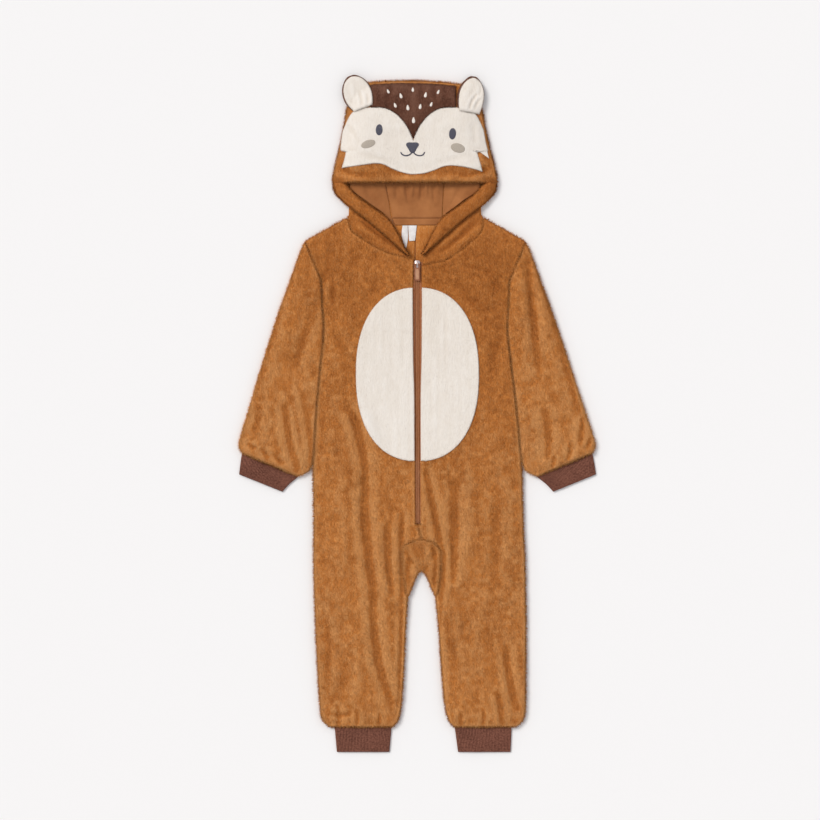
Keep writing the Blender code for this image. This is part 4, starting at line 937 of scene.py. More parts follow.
ys = np.concatenate([
    HOOD_SIDE_TOP_Y - np.array((0, 0.4, 1.0, 1.8, 2.8, 4.0)), np.arange(487, 352, -2.5),
    BROW_Y + np.array((6.0, 4.4, 3.2, 2.2, 1.3, 0.6, 0.2, 0.0)),
])
x, y = hood_rows(ys, 0.0, 2.6)
distance, outward = rim_distance(x, y)
brow = y - BROW_Y
corner = np.clip((np.abs(x - centre(y)) - 96) / 12, 0, 1) * (brow < 8)
z = hood_face(x, y) + fluff(x, y, distance) - roll(distance, 3.2 - 2.0 * corner)
z += 0.45 * np.exp(-(((brow - 6.0) / 4.5) ** 2)) * (1 - corner)
hood_top = np.stack([x, y, z], axis=2)
tones = tones_of(hood_top, distance) - 0.05 * np.exp(-(((brow - 3.0) / 5.0) ** 2)) - 0.25 * corner
panel("hood_front", hood_top, SHELL, TAN_PLUSH, tones, (0.25, 0.165), 0.0345, ["hood_back"])

FACE_CENTRE_X = -6.5
LOBE_X, LOBE_Y, LOBE_WIDTH, LOBE_HEIGHT, LOBE_OUTER_WIDTH = 51.0, 403.6, 51.3, 52.6, 57.0
MASK_HALF_WIDTH, FOREHEAD_DROP, FOREHEAD_HALF_WIDTH = 106.0, 4.6, 64.2


def mask_top_y(x):
    """Two lobes that meet over the nose: round on their inner side, and squarer out to the cheeks."""
    off = np.abs(x - FACE_CENTRE_X) - LOBE_X
    inner = LOBE_HEIGHT * np.clip(1 - (off / LOBE_WIDTH) ** 2, 0, 1) ** 0.72
    outer = LOBE_HEIGHT * np.clip(1 - np.abs(off / LOBE_OUTER_WIDTH) ** 5, 0, 1) ** 0.625
    return LOBE_Y + np.where(off < 0, inner, outer)


# x, y along the chin's wavy edge
CHIN = (
    (-114.0, 366.2), (-100.0, 368.0), (-80.0, 370.6), (-62.0, 372.8), (-51.0, 371.2), (-38.0, 365.0),
    (-22.0, 359.0), (-7.4, 356.6), (9.0, 357.8), (24.0, 362.2), (40.0, 368.4), (50.0, 369.4), (66.0, 368.0),
    (84.0, 364.6), (99.0, 360.8),
)


def mask_bottom_y(x):
    return smooth(CHIN, x)


# y, how far the cheek stands out from the mask's plain side: two pointed tufts, cut into the cream piece
CHEEK_POINTS = {
    -1: (
        (360.0, -1.0), (366.0, 1.4), (370.0, 0.2), (380.0, -3.0), (391.0, -5.4), (392.6, 2.8), (398.0, 3.2),
        (414.0, 1.5), (430.0, -2.0), (446.0, -4.5), (460.0, -6.0),
    ),
    1: (
        (354.0, -2.0), (362.0, -2.4), (370.0, -4.6), (382.0, -8.4), (391.0, -11.0), (391.6, 6.4),
        (394.0, 6.2), (405.0, 3.2), (420.0, 0.5), (440.0, -3.0), (460.0, -6.0),
    ),
}


def on_mask(x, y, grow=0.0):
    """True where the cream face or the dark forehead covers the hood."""
    inside_x = np.abs(x - FACE_CENTRE_X) < MASK_HALF_WIDTH - 3 + grow
    cream = inside_x & (y < mask_top_y(x) + grow) & (y > mask_bottom_y(x) - grow)
    dark = (np.abs(x - FACE_CENTRE_X) < FOREHEAD_HALF_WIDTH + grow) & (y > mask_top_y(x) - 2)
    return cream | (dark & (y < hood_top_y(x) - FOREHEAD_DROP + grow))


pile(
    "hood_front", hood_top, tones, (distance, outward), HOOD_PILE, TAN_PLUSH, 51,
    keep=lambda px, py: ~on_mask(px, py, -1.2),
)

# the back layer of the hood, plain plush flat on the table, down to the back neck seam
ys = HOOD_SIDE_TOP_Y - np.array((0, 0.6, 1.6, 3.0))
ys = np.concatenate([ys, np.arange(488, 296, -4.6), [295, 294.2, 293.6]])
x, y = hood_rows(ys, BACK_INSET, 5.0)
inward = np.minimum(x - hood_x(y, -1), hood_x(y, 1) - x)
y = y - NECK_DIP * rise(inward, 90) * np.clip((320 - y) / 26.4, 0, 1)
hood_back_top = np.stack([x, y, BACK_LEVEL - roll(rim_distance(x, y)[0], BACK_ROLL)], axis=2)
panel("hood_back", hood_back_top, BACK_SHELL, TAN_PLUSH, np.full(x.shape, -0.1), (0.25, 0.21), 0.044)


# Rolled front edge of the hood: the plush is turned in over its lining from the brow's corners down to the
# zip, and lies over the neck on both sides.
# outer x, outer y, outer z, inner x, inner y, inner z
HOOD_EDGE_SECTIONS = (
    (123.1, 344.6, 3.3, 106.5, 344.6, 9.7), (121.3, 334.0, 3.3, 98.0, 336.5, 9.6),
    (115.3, 324.0, 3.4, 87.0, 325.0, 9.4), (99.0, 308.8, 6.9, 66.0, 309.5, 9.2),
    (72.8, 288.8, 7.3, 40.5, 291.0, 9.1), (47.3, 267.0, 7.8, 25.5, 268.5, 9.2),
    (23.0, 245.0, 9.0, 14.8, 246.0, 9.6), (12.0, 236.0, 9.7, 9.0, 237.5, 9.9),
)
SIDE_CREASES = (
    (-88, 296, -58, 268, -22, 246, 1.1, 5.0), (86, 292, 60, 262, 26, 240, 1.1, 5.0),
    (-97, 283, -80, 274, -62, 262, -0.9, 5.0), (96, 282, 80, 268, 60, 254, -0.9, 5.0),
)


def edge_point(side, t, share):
    """A point of the rolled edge's underside, t along its sections and share across from outer to inner."""
    columns = [[(k, row[c]) for k, row in enumerate(HOOD_EDGE_SECTIONS)] for c in range(6)]
    ox, oy, oz, ix, iy, iz = (smooth(column, t) for column in columns)
    y = oy + (iy - oy) * share
    x = ox + (ix - ox) * share
    z = oz + (iz - oz) * rise(share, 0.75) + 1.3 * np.sin(math.pi * share)
    return centre(y) + side * x, y, z


def neck_point(side, share):
    """A point on the neck seam, from the shoulder at share 0 to the zip at share 1."""
    line = [(float(centre(y)) + side * half, y) for y, half in reversed(NECK_SEAM[side])]
    lengths = [0.0]
    for (x0, y0), (x1, y1) in zip(line, line[1:]):
        lengths.append(lengths[-1] + math.hypot(x1 - x0, y1 - y0))
    at = share * lengths[-1]
    return np.interp(at, lengths, [p[0] for p in line]), np.interp(at, lengths, [p[1] for p in line])


for side, word in SIDES.items():
    t = np.concatenate([(0, 0.03, 0.08, 0.16), np.arange(0.25, 6.7, 0.075), (6.8, 6.9, 6.96, 7.0)])
    shares = np.concatenate([(0, 0.02, 0.05, 0.10), np.linspace(0.16, 0.84, 12), (0.90, 0.95, 0.98, 1.0)])
    x, y, low = edge_point(side, t[:, None], shares[None, :])
    distance, outward = rim_distance(x, y)
    narrow = np.clip(np.hypot(x[:, :1] - x[:, -1:], y[:, :1] - y[:, -1:]) / 2.4, 0.9, 3.4)
    drop = 0.85 * roll(distance, np.broadcast_to(narrow, x.shape))
    drop *= 0.4 + 0.6 * np.clip(t / 0.6, 0, 1)[:, None]
    z = low + PLUSH + 0.8 * fluff(x, y, distance) - drop + 0.6 * np.sin(math.pi * shares)[None, :] ** 2
    top = np.stack([x, y, z], axis=2)
    tones = tones_of(top, distance, edge_light=0.26) - 0.52
    under = [f"hood_side_{word}"]
    panel(f"hood_edge_{word}", top, SHELL, TAN_PLUSH, tones, (0.036, 0.17), 0.0040, under, held="folded")
    rim, lean = (distance, outward), (-side * 0.5, -0.8)
    pile(f"hood_edge_{word}", top, tones, rim, EDGE_PILE, TAN_PLUSH, 61 + side, lean=lean)

    # below the roll, the hood's own plush runs on to the neck seam
    share = np.concatenate([(0, 0.006, 0.014), np.linspace(0.025, 0.975, 58), (0.986, 0.994, 1.0)])
    nx, ny = neck_point(side, share)
    tx, ty, tz = edge_point(side, 3.12 + 3.7 * share, 0.16)
    level = np.minimum(tz - SEAM - PLUSH - 0.1, 3.5 + 3.0 * share)
    gap = 0.45 / np.hypot(tx - nx, ty - ny)
    start = FLOOR_LAYER + body_air(nx, ny, side)
    along = np.concatenate([(0, 0.02, 0.05, 0.1), np.linspace(0.17, 1.0, 12)])
    a = gap[:, None] + (1 - gap)[:, None] * along[None, :]
    x, y = nx[:, None] + (tx - nx)[:, None] * a, ny[:, None] + (ty - ny)[:, None] * a
    low = start[:, None] + (level - start)[:, None] * rise(a, 0.9)
    seam = np.hypot(x - nx[:, None], y - ny[:, None])
    roll_off = np.minimum(seam, np.minimum(share, 1 - share)[:, None] * 170 + 0.4)
    z = low + PLUSH - 0.2 + creases(x, y, SIDE_CREASES) * np.clip(1.4 - 1.4 * a, 0, 1)
    z += 0.7 * fluff(x, y, roll_off) * np.clip(1.6 - 1.6 * a, 0, 1) - roll(roll_off, SEAM_ROLL)
    top = np.stack([x, y, z], axis=2)
    # darker all over, and more so where it runs in under the rolled edge: painted shade
    tones = tones_of(top, roll_off, edge_light=0.6) - 0.26 - 0.35 * np.clip((a - 0.62) / 0.3, 0, 1)
    panel(f"hood_side_{word}", top, 2.0, TAN_PLUSH, tones, (0.045, 0.15), 0.0028, [f"front_{word}"])
    shown = np.s_[:, :12]
    rim, lean = rim_distance(x[shown], y[shown]), (side * 0.4, -0.8)
    pile(f"hood_side_{word}", top[shown], tones[shown], rim, EDGE_PILE, TAN_PLUSH, 71 + side, lean=lean)


# Lining: brown cotton jersey inside the hood, in three panels with plain seams. It gathers a little under
# the brow, and the same jersey tapes the back neck seam.
JERSEY, JERSEY_SHELL, JERSEY_RIM = 1.2, 0.42, (0.0, 0.4, 1.0, 1.8)


def jersey():
    """A fine knitted cotton: small rows of stitches and a soft change of tone."""
    stuff, tree = material("lining_jersey")
    place = object_place(tree)
    knit = maths(tree, "MULTIPLY", wave(tree, place, "X", 230.0, 1.2), wave(tree, place, "Y", 320.0, 0.8))
    tone = maths(tree, "MULTIPLY_ADD", knit, 0.25, noise(tree, place, 45.0, 4.0))
    finish(tree, {
        "Base Color": ramp(tree, tone, 0.25, (0.290, 0.100, 0.028), 0.85, (0.480, 0.190, 0.062)),
        "Roughness": 0.85, "Sheen Weight": 0.12, "Specular IOR Level": 0.2,
    }, knit, 0.35, 0.0004)
    return stuff


LINING_JERSEY = jersey()
# y, left x, right x: lines across the middle panel, then across the tape below it
LINING_CENTRE_ROWS = ((292.0, -38.0, 37.0), (312.0, -41.0, 37.5), (334.0, -46.0, 38.5), (366.0, -49.5, 39.0))
NECK_TAPE_ROWS = ((281.5, -34.0, 42.0), (286.5, -36.2, 43.0), (291.6, -38.0, 44.0))
# seam y, seam x, edge x, edge y, edge z: lines across the side panels, out to the rolled edge of the hood
LINING_SIDE_SECTIONS = {
    -1: (
        (366.0, -50.3, -98.0, 366.0, 6.5), (340.0, -47.4, -101.0, 340.0, 7.4),
        (312.0, -42.2, -73.5, 315.0, 7.4), (294.0, -39.5, -50.0, 298.5, 7.3),
        (274.0, -31.0, -33.0, 277.0, 7.2), (250.0, -20.0, -23.0, 252.0, 7.2),
    ),
    1: (
        (366.0, 40.0, 92.0, 366.0, 6.5), (340.0, 39.7, 94.0, 340.0, 7.4), (312.0, 38.4, 64.5, 315.0, 7.4),
        (294.0, 38.0, 41.5, 298.5, 7.3),
    ),
}
LINING_CREASES = (
    (-17, 352, -16, 330, -12, 312, 0.9, 3.0), (-10, 352, -8, 338, -9, 322, -0.8, 3.0),
    (4, 352, 6, 334, 4, 318, 0.9, 3.2), (14, 352, 13, 336, 16, 322, -0.7, 3.0),
    (26, 352, 24, 334, 26, 314, 0.8, 3.2),
    (-34, 352, -31, 334, -32, 318, 0.6, 4.0), (-78, 346, -70, 326, -52, 306, 0.7, 5.0),
    (62, 346, 60, 326, 48, 306, 0.7, 5.0), (-12, 318, -2, 308, 6, 296, 0.5, 5.0),
)


def lining(name, x, y, base, flat, area):
    """A thin panel of jersey, drawn in along its seams."""
    distance = rim_distance(x, y)[0]
    drawn_up = 2.4 * rise(y - 316, 34) * np.clip(distance / 7, 0, 1)
    drawn_up *= np.clip((52 - np.abs(x + 5)) / 8, 0.3, 1)
    z = base + JERSEY + drawn_up + 2.4 * creases(x, y, LINING_CREASES) - 0.7 * roll(distance, 1.4)
    z += 0.22 * clumps(x, y, 14.0, 3) * np.clip(distance / 4, 0, 1)
    top = np.stack([x, y, np.maximum(z, base + 0.45)], axis=2)
    cloth(f"{name}_jersey", top, JERSEY_SHELL, LINING_JERSEY, flat, area, ["hood_back"])


for name, rows, ys, step, flat, area in (
    ("lining_centre", LINING_CENTRE_ROWS, np.arange(366.0, 291.9, -1.48), 1.7, (0.09, 0.075), 0.0061),
    ("neck_tape", NECK_TAPE_ROWS, np.arange(291.6, 281.4, -0.72), 2.0, (0.081, 0.0102), 0.0008),
):
    left, right = smooth(rows, ys), smooth(rows, ys, 2)
    x = left[:, None] + across(right - left, step, rim=JERSEY_RIM)
    lining(name, x, np.broadcast_to(ys[:, None], x.shape), FLOOR_LAYER, flat, area)
for side, word in SIDES.items():
    rows = LINING_SIDE_SECTIONS[side]
    ys = np.arange(rows[0][0], rows[-1][0] - 0.1, -1.45)
    sx, ex, ey, ez = (smooth(rows, ys, column)[:, None] for column in (1, 2, 3, 4))
    share = np.concatenate([(0, 0.015, 0.04), np.linspace(0.08, 1.0, 20)])[None, :]
    x, y = sx + (ex - sx) * share, ys[:, None] + (ey - ys[:, None]) * share
    base = FLOOR_LAYER + (ez - FLOOR_LAYER) * share**1.5
    size = {-1: ((0.045, 0.118), 0.0032), 1: ((0.046, 0.074), 0.0022)}[side]
    lining(f"lining_{word}", x, y, base, *size)


# Labels: two blank white satin tabs, folded and sewn in under the neck tape.
# left x, left y, right x, right y: lines across each label, from its seam down
LABEL_ROWS = {
    "label_long": ((-22.5, 281.0, -14.6, 281.0), (-23.8, 268.0, -14.2, 264.0), (-18.6, 244.5, -17.4, 244.5)),
    "label_short": ((-14.0, 281.0, -1.0, 281.0), (-13.4, 270.0, -2.2, 270.0), (-12.6, 257.6, -3.6, 258.2)),
}
LABEL_CUT = {"label_long": (0.0125, 0.036), "label_short": (0.012, 0.0235)}
SATIN, ON_FLOOR = 0.30, 0.75


def satin():
    """Polyester satin: fine crossing threads, smooth and slightly shiny."""
    stuff, tree = material("label_satin")
    place = object_place(tree)
    tone = ramp(tree, noise(tree, place, 160.0), 0.3, (0.74, 0.70, 0.68), 0.7, (0.90, 0.87, 0.85))
    finish(tree, {"Base Color": tone, "Roughness": 0.42}, wave(tree, place, "Y", 500.0, 0.6), 0.25, 0.0002)
    return stuff


LABEL_SATIN = satin()
for name, rows in LABEL_ROWS.items():
    table = [(-k, *row) for k, row in enumerate(rows)]
    t = np.linspace(0, -(len(rows) - 1), 26)
    ax, ay, bx, by = (smooth(table, t, column)[:, None] for column in (1, 2, 3, 4))
    share = np.linspace(0, 1, 13)[None, :]
    x, y = ax + (bx - ax) * share, ay + (by - ay) * share
    curl = 0.35 * np.sin(math.pi * share) + 0.25 * np.sin(t[:, None] * 3.1 + 1.4 * share)
    z = FLOOR_LAYER + ON_FLOOR + curl * np.clip(-t[:, None] * 1.2, 0, 1)
    top = np.stack([x, y, z], axis=2)
    cloth(f"{name}_satin", top, SATIN, LABEL_SATIN, LABEL_CUT[name], 0.00026, ["back_left"])


# Forehead: dark brown short plush let in between the ears and the cream face, cream drops stitched on it.
SHORT_PLUSH, SHORT_SHELL, ON_HOOD, SHORT_TUFT_WIDTH = 1.8, 1.35, 0.4, 0.42
DARK_PILE, FACE_PILE = (1.2, 1.9), (0.6, 1.4)
DARK_PLUSH = plush(
    "dark_plush", (0.150, 0.060, 0.036), (0.060, 0.020, 0.011), (0.300, 0.150, 0.100), 0.75, 0.35, 0.20
)
CREAM_PLUSH = plush(
    "cream_plush", (0.865, 0.795, 0.715), (0.730, 0.640, 0.540), (0.950, 0.910, 0.860), 0.34, 0.22, 0.10,
    relief=0.35,
)


def face_level(x, y):
    """Top of the short plush that lies on the hood's front."""
    return hood_face(x, y) + ON_HOOD + SHORT_PLUSH


x_line = FACE_CENTRE_X + FOREHEAD_HALF_WIDTH * np.linspace(-1, 1, 84)
high = hood_top_y(x_line) - FOREHEAD_DROP
low = mask_top_y(x_line) + 0.5 + 1.4 * np.exp(-(((x_line - FACE_CENTRE_X) / 2.0) ** 2))
shares = np.concatenate([(0, 0.012, 0.03, 0.06), np.linspace(0.10, 0.92, 30), (0.95, 0.975, 0.99, 1)])
y = high[None, :] + (low - high)[None, :] * shares[:, None]
x = np.broadcast_to(x_line[None, :], y.shape)
distance, outward = rim_distance(x, y)
z = face_level(x, y) + 0.5 * fluff(x, y, distance) - roll(distance, 1.5)
forehead_top = np.stack([x, y, z], axis=2)
tones = tones_of(forehead_top, distance, edge_light=0.05, reach=2.0)
tones += 0.42 * clumps(x * 0.7, y, 24.0, 9) + 0.40 * np.clip((y - 462) / 34, -1, 1)
panel("forehead", forehead_top, SHORT_SHELL, DARK_PLUSH, tones, (0.129, 0.09), 0.0064, ["hood_front"])
# centre x, centre y, lean in degrees, length: each drop is listed one by one
DROPS = (
    (-44.0, 481.0, -24.0, 8.0), (-25.0, 474.0, -14.0, 9.0), (-7.0, 483.5, 0.0, 8.0),
    (12.0, 475.5, 12.0, 9.0), (31.0, 480.0, 24.0, 8.0), (-33.5, 459.5, -20.0, 8.5),
    (-14.5, 456.0, -8.0, 9.5), (4.0, 457.5, 10.0, 9.0), (20.5, 461.0, 20.0, 8.0), (-6.0, 437.0, 0.0, 10.5),
)
# share of the outline, height over the short plush: how a drop domes
DROP_LEVELS = [(1.0, -0.7)] + [(share, 1.5 * math.sqrt(1 - share**2) - 0.5) for share in (0.86, 0.6, 0.3)]


def off_drops(px, py):
    clear = np.ones(px.shape, bool)
    for cx, cy, _, long in DROPS:
        clear &= np.hypot((px - cx) * 1.7, py - cy) > 0.5 * long
    return clear


def bearings_of(count):
    """Angles evenly round a circle."""
    return np.linspace(0, 2 * math.pi, count, endpoint=False)


def ring_faces(start, lanes, size, capped=True):
    """Faces of a solid from rings of points that follow each other, each ring size points long."""
    faces = []
    for a in range(start, start + lanes * size, size):
        faces += [(a + k, a + (k + 1) % size, a + size + (k + 1) % size, a + size + k) for k in range(size)]
    if capped:
        end = start + lanes * size
        faces += [tuple(range(start, start + size))[::-1], tuple(range(end, end + size))]
    return faces


def laid_on(name, middle, lean, outline, levels, crown, stuff):
    """A domed shape that lies on the face: its outline shrinks from level to level up to its crown."""
    (cx, cy), (u, v), turn = middle, outline, math.radians(-lean)
    points = []
    for share, lift in levels:
        px = cx + share * (u * math.cos(turn) - v * math.sin(turn))
        py = cy + share * (u * math.sin(turn) + v * math.cos(turn))
        points += list(zip(px, py, face_level(px, py) + lift))
    points.append((cx, cy, float(face_level(np.array(cx), np.array(cy))) + crown))
    size, last = len(u), (len(levels) - 1) * len(u)
    faces = ring_faces(0, len(levels) - 1, size, capped=False)
    faces += [(last + k, last + (k + 1) % size, last + size) for k in range(size)]
    return make_piece(name, points, faces, stuff)


rim = distance, outward
pile("forehead", forehead_top, tones, rim, DARK_PILE, DARK_PLUSH, 81, keep=off_drops, width=0.5)
around = bearings_of(28)
for number, (cx, cy, lean, long) in enumerate(DROPS, 1):
    outline = -0.24 * long * np.sin(around) * (1 - 0.42 * np.cos(around)), 0.5 * long * np.cos(around)
    drop = laid_on(f"drop_{number}", (cx, cy), lean, outline, DROP_LEVELS, 1.0, CREAM_PLUSH)
    store_tones(drop, [0.15])


# Face: one cream piece of short plush, sewn on over the hood's front. Eyes, cheeks, nose and mouth are
# embroidered on it in satin stitch.
x_line = FACE_CENTRE_X + MASK_HALF_WIDTH * np.sin(np.linspace(-math.pi / 2, math.pi / 2, 133) * 0.94)
high, low = mask_top_y(x_line), mask_bottom_y(x_line)
shares = np.concatenate([(0, 0.008, 0.02, 0.04), np.linspace(0.07, 0.93, 40), (0.96, 0.98, 0.992, 1)])
y = high[None, :] + (low - high)[None, :] * shares[:, None]
x = np.broadcast_to(x_line[None, :], y.shape).copy()
for side in SIDES:
    rows = sorted(CHEEK_POINTS[side])
    out = np.interp(y, [row[0] for row in rows], [row[1] for row in rows])
    off = side * (x - FACE_CENTRE_X) / MASK_HALF_WIDTH
    x = x + side * np.where(off > 0, out * np.clip(off, 0, 1) ** 9, 0.0)
distance, outward = rim_distance(x, y)
FACE_CREASES = (
    (-92, 388, -60, 380, -30, 371, 0.5, 6.0), (84, 388, 55, 380, 22, 371, 0.5, 6.0),
    (-60, 420, -40, 428, -22, 424, -0.5, 10.0), (30, 424, 48, 430, 66, 420, -0.5, 10.0),
    (-104, 432, -96, 420, -88, 400, 0.6, 5.0), (86, 436, 84, 420, 88, 402, 0.6, 5.0),
)
z = face_level(x, y) + creases(x, y, FACE_CREASES) + 0.3 * fluff(x, y, distance) - roll(distance, 1.1)
face_top = np.stack([x, y, z], axis=2)
# the right cheek's tuft hangs down past the notch, so its point is laid over as a corner of its own
share, down = np.linspace(0, 1, 12)[None, :], np.linspace(0, 1, 16)[:, None]
tuft_x = (88.0 + 18.6 * down) * (1 - share) + (103.6 + 3.4 * down) * share
tuft_y = (393.2 - 12.2 * down) * (1 - share) + (395.0 - 14.0 * down) * share
tuft_far = rim_distance(tuft_x, tuft_y)[0] + 6 * np.clip(0.3 - down, 0, 1)
tuft_z = face_level(tuft_x, tuft_y) - roll(tuft_far, 1.2)
tuft_top = np.stack([tuft_x, tuft_y, tuft_z], axis=2)
tuft = shell("cheek_tuft_right", tuft_top, 1.2, CREAM_PLUSH)
store_tones(tuft, [0.1])
tones = tones_of(face_top, distance, edge_light=0.45, reach=2.0)
panel(
    "face_mask", face_top, SHORT_SHELL, CREAM_PLUSH, tones, (0.212, 0.1), 0.0182, ["hood_front"],
    with_pieces=[tuft],
)
pile("face_mask", face_top, tones, (distance, outward), FACE_PILE, CREAM_PLUSH, 83, width=SHORT_TUFT_WIDTH)


def stitching(name, colour, angle):
    """Satin stitch: close parallel threads that catch a little light."""
    stuff, tree = material(name)
    turn = {"Rotation": (0.0, 0.0, math.radians(angle)), "Vector": object_place(tree)}
    threads = wave(tree, node(tree, "Mapping", turn).outputs["Vector"], "X", 420.0, 1.5)
    dark, light = ([share * c for c in colour] for share in (0.62, 1.45))
    tone = ramp(tree, threads, 0.0, dark, 1.0, light)
    finish(tree, {"Base Color": tone, "Roughness": 0.55, "Sheen Weight": 0.1}, threads, 0.5, 0.0003)
    return stuff


NAVY_THREAD = stitching("navy_thread", (0.060, 0.058, 0.085), 0)
TAUPE_THREAD = stitching("taupe_thread", (0.440, 0.375, 0.305), 20)


def nose_outline(angles):
    """A soft triangle that stands on its point."""
    return 1.0 / (1.0 - 0.20 * np.sin(3 * angles) + 0.05 * np.sin(angles))


# name, centre, half width, half height, lean in degrees, thread, outline
PATCHES = (
    ("eye_left", (-57.2, 422.6), 5.2, 8.3, 3.0, NAVY_THREAD, np.ones_like),
    ("eye_right", (52.2, 416.8), 5.2, 8.6, 5.0, NAVY_THREAD, np.ones_like),
    ("cheek_left", (-73.6, 401.4), 11.0, 5.8, -18.0, TAUPE_THREAD, np.ones_like),
    ("cheek_right", (60.2, 395.4), 10.8, 6.8, 15.0, TAUPE_THREAD, np.ones_like),
    ("nose", (-7.6, 397.6), 8.6, 7.6, 0.0, NAVY_THREAD, nose_outline),
)
# share of the outline, height over the short plush: how an embroidered shape domes
STITCH_LEVELS = ((1.0, -0.5), (1.0, 0.25), (0.94, 0.50), (0.8, 0.66), (0.6, 0.76), (0.35, 0.82))
around = bearings_of(48)
for name, middle, rx, ry, lean, thread, shape in PATCHES:
    outline = rx * shape(around) * np.cos(around), ry * shape(around) * np.sin(around)
    laid_on(name, middle, lean, outline, STITCH_LEVELS, 0.84, thread)
# points along each stitched line of the mouth: down from the nose, then round to both sides
MOUTH = {
    "mouth_left": (
        (-7.2, 391.3), (-9.6, 387.4), (-12.8, 385.0), (-17.6, 384.0), (-22.6, 385.6), (-25.4, 389.4),
    ),
    "mouth_right": (
        (-7.2, 391.3), (-4.6, 387.4), (-1.4, 385.0), (3.4, 384.0), (8.2, 385.4), (10.8, 389.6),
    ),
}
for name, line in MOUTH.items():
    steps = [(k, *point) for k, point in enumerate(line)]
    t = np.linspace(0, len(line) - 1, 36)
    px, py = smooth(steps, t), smooth(steps, t, 2)
    tx, ty = np.gradient(px), np.gradient(py)
    long = np.hypot(tx, ty)
    nx, ny = -ty / long, tx / long
    half = 1.15 * np.minimum(1, 0.35 + 2.2 * np.minimum(t, t[-1] - t))
    points, faces = [], []
    for share, lift in ((-1, -0.4), (-0.8, 0.35), (0, 0.72), (0.8, 0.35), (1, -0.4)):
        ax, ay = px + nx * half * share, py + ny * half * share
        points += list(zip(ax, ay, face_level(ax, ay) + lift))
    for lane in range(4):
        faces += [(a + 36, a, a + 1, a + 37) for a in range(lane * 36, lane * 36 + 35)]
    make_piece(name, points, faces, NAVY_THREAD)


# Ears: each has a dark brown back and a smaller cream front, stitched together round the edge, folded to a
# cup at the base and sewn to the hood's front.
EAR_RIM, EAR_BACKING, EAR_CROWN, ON_EAR, EAR_SHELL, EAR_PILE = 1.6, 2.0, 0.8, 1.0, 1.5, (0.6, 1.3)
# share of the ear's length, half width there
EAR_SHAPE = {
    -1: ((0.0, 14.8), (0.2, 19.2), (0.42, 20.8), (0.7, 18.2), (0.87, 13.0), (0.96, 7.4), (1.0, 2.4)),
    1: ((0.0, 15.6), (0.2, 18.0), (0.42, 18.8), (0.7, 16.2), (0.87, 11.2), (0.96, 6.2), (1.0, 2.2)),
}
# base x, base y, lean from upright in degrees, length; then how far the front sits off the back's middle
EARS = {-1: (-82.4, 458.0, -21.0, 48.5), 1: (76.6, 452.6, 8.0, 50.0)}
FRONT_SHIFT = {-1: (0.5, -0.4), 1: (1.2, -0.9)}
EAR_CREASES = {
    -1: (
        (-83, 458, -84, 468, -88, 482, 1.3, 2.6), (-75, 459, -74, 468, -77, 478, 0.9, 2.4),
        (-92, 464, -97, 478, -98, 492, -0.7, 5.0), (-79, 486, -86, 496, -93, 501, -0.5, 6.0),
    ),
    1: (
        (78, 452, 81, 464, 90, 478, 1.4, 2.6), (85, 452, 88, 461, 94, 470, 0.9, 2.4),
        (72, 464, 75, 482, 82, 494, -0.6, 5.0), (92, 474, 95, 484, 94, 494, 0.7, 3.0),
    ),
}


def ear_grid(side, grow, drop=0.0):
    """Plan of an ear: lines across it from base to tip. A drop carries its base on down over the seam."""
    base_x, base_y, lean, long = EARS[side]
    ux, uy = math.sin(math.radians(lean)), math.cos(math.radians(lean))
    share = np.concatenate([(0, 0.01, 0.025, 0.05), np.linspace(0.08, 0.94, 34), (0.965, 0.985, 1.0)])
    half = smooth(EAR_SHAPE[side], share) + grow
    along = share * long + np.where(share > 0.9, grow * np.clip((share - 0.9) / 0.08, 0, 1), 0.0)
    along = along - drop * (1 - share) ** 6
    line = np.concatenate([(-1, -0.975, -0.94, -0.88), np.linspace(-0.8, 0.8, 20), (0.88, 0.94, 0.975, 1)])
    out = half[:, None] * line[None, :]
    x = base_x + ux * along[:, None] + uy * out
    y = base_y + uy * along[:, None] - ux * out
    return x, y, np.broadcast_to(line[None, :], x.shape)


def ear_level(x, y):
    """An ear's back rests on the hood, and stays level past its edge."""
    flat = hood_face(x, np.minimum(y, hood_top_y(x))) + ON_HOOD
    return np.maximum(flat, 7.6)


for side, word in SIDES.items():
    x, y, line = ear_grid(side, EAR_RIM)
    distance = rim_distance(x, y)[0]
    z = ear_level(x, y) + EAR_CROWN * (1 - line**2) + EAR_BACKING - roll(distance, 1.3)
    back_top = np.stack([x, y, z], axis=2)
    tones = tones_of(back_top, distance, edge_light=-0.05, reach=2.0)
    panel(f"ear_back_{word}", back_top, EAR_SHELL, DARK_PLUSH, tones, (0.045, 0.057), 0.0019, ["hood_front"])
    x, y, line = ear_grid(side, -0.3, drop=3.0)
    x, y = x + FRONT_SHIFT[side][0], y + FRONT_SHIFT[side][1]
    distance, outward = rim_distance(x, y)
    z = ear_level(x, y) + EAR_CROWN * (1 - line**2) + EAR_BACKING + ON_EAR + SHORT_PLUSH
    z += creases(x, y, EAR_CREASES[side]) * np.clip(distance / 3, 0, 1) + 0.3 * fluff(x, y, distance)
    from_base = np.hypot(x - x[:1], y - y[:1])
    z -= roll(distance, 1.7) + 2.4 * (1 - np.clip(from_base / 5.0, 0, 1)) ** 2
    front_top = np.stack([x, y, z], axis=2)
    tones = tones_of(front_top, distance, edge_light=0.2, reach=1.6)
    under = [f"ear_back_{word}"]
    panel(f"ear_front_{word}", front_top, EAR_SHELL, CREAM_PLUSH, tones, (0.042, 0.055), 0.00175, under)
    rim, seed = (distance, outward), 95 + side
    pile(f"ear_front_{word}", front_top, tones, rim, EAR_PILE, CREAM_PLUSH, seed, width=SHORT_TUFT_WIDTH)


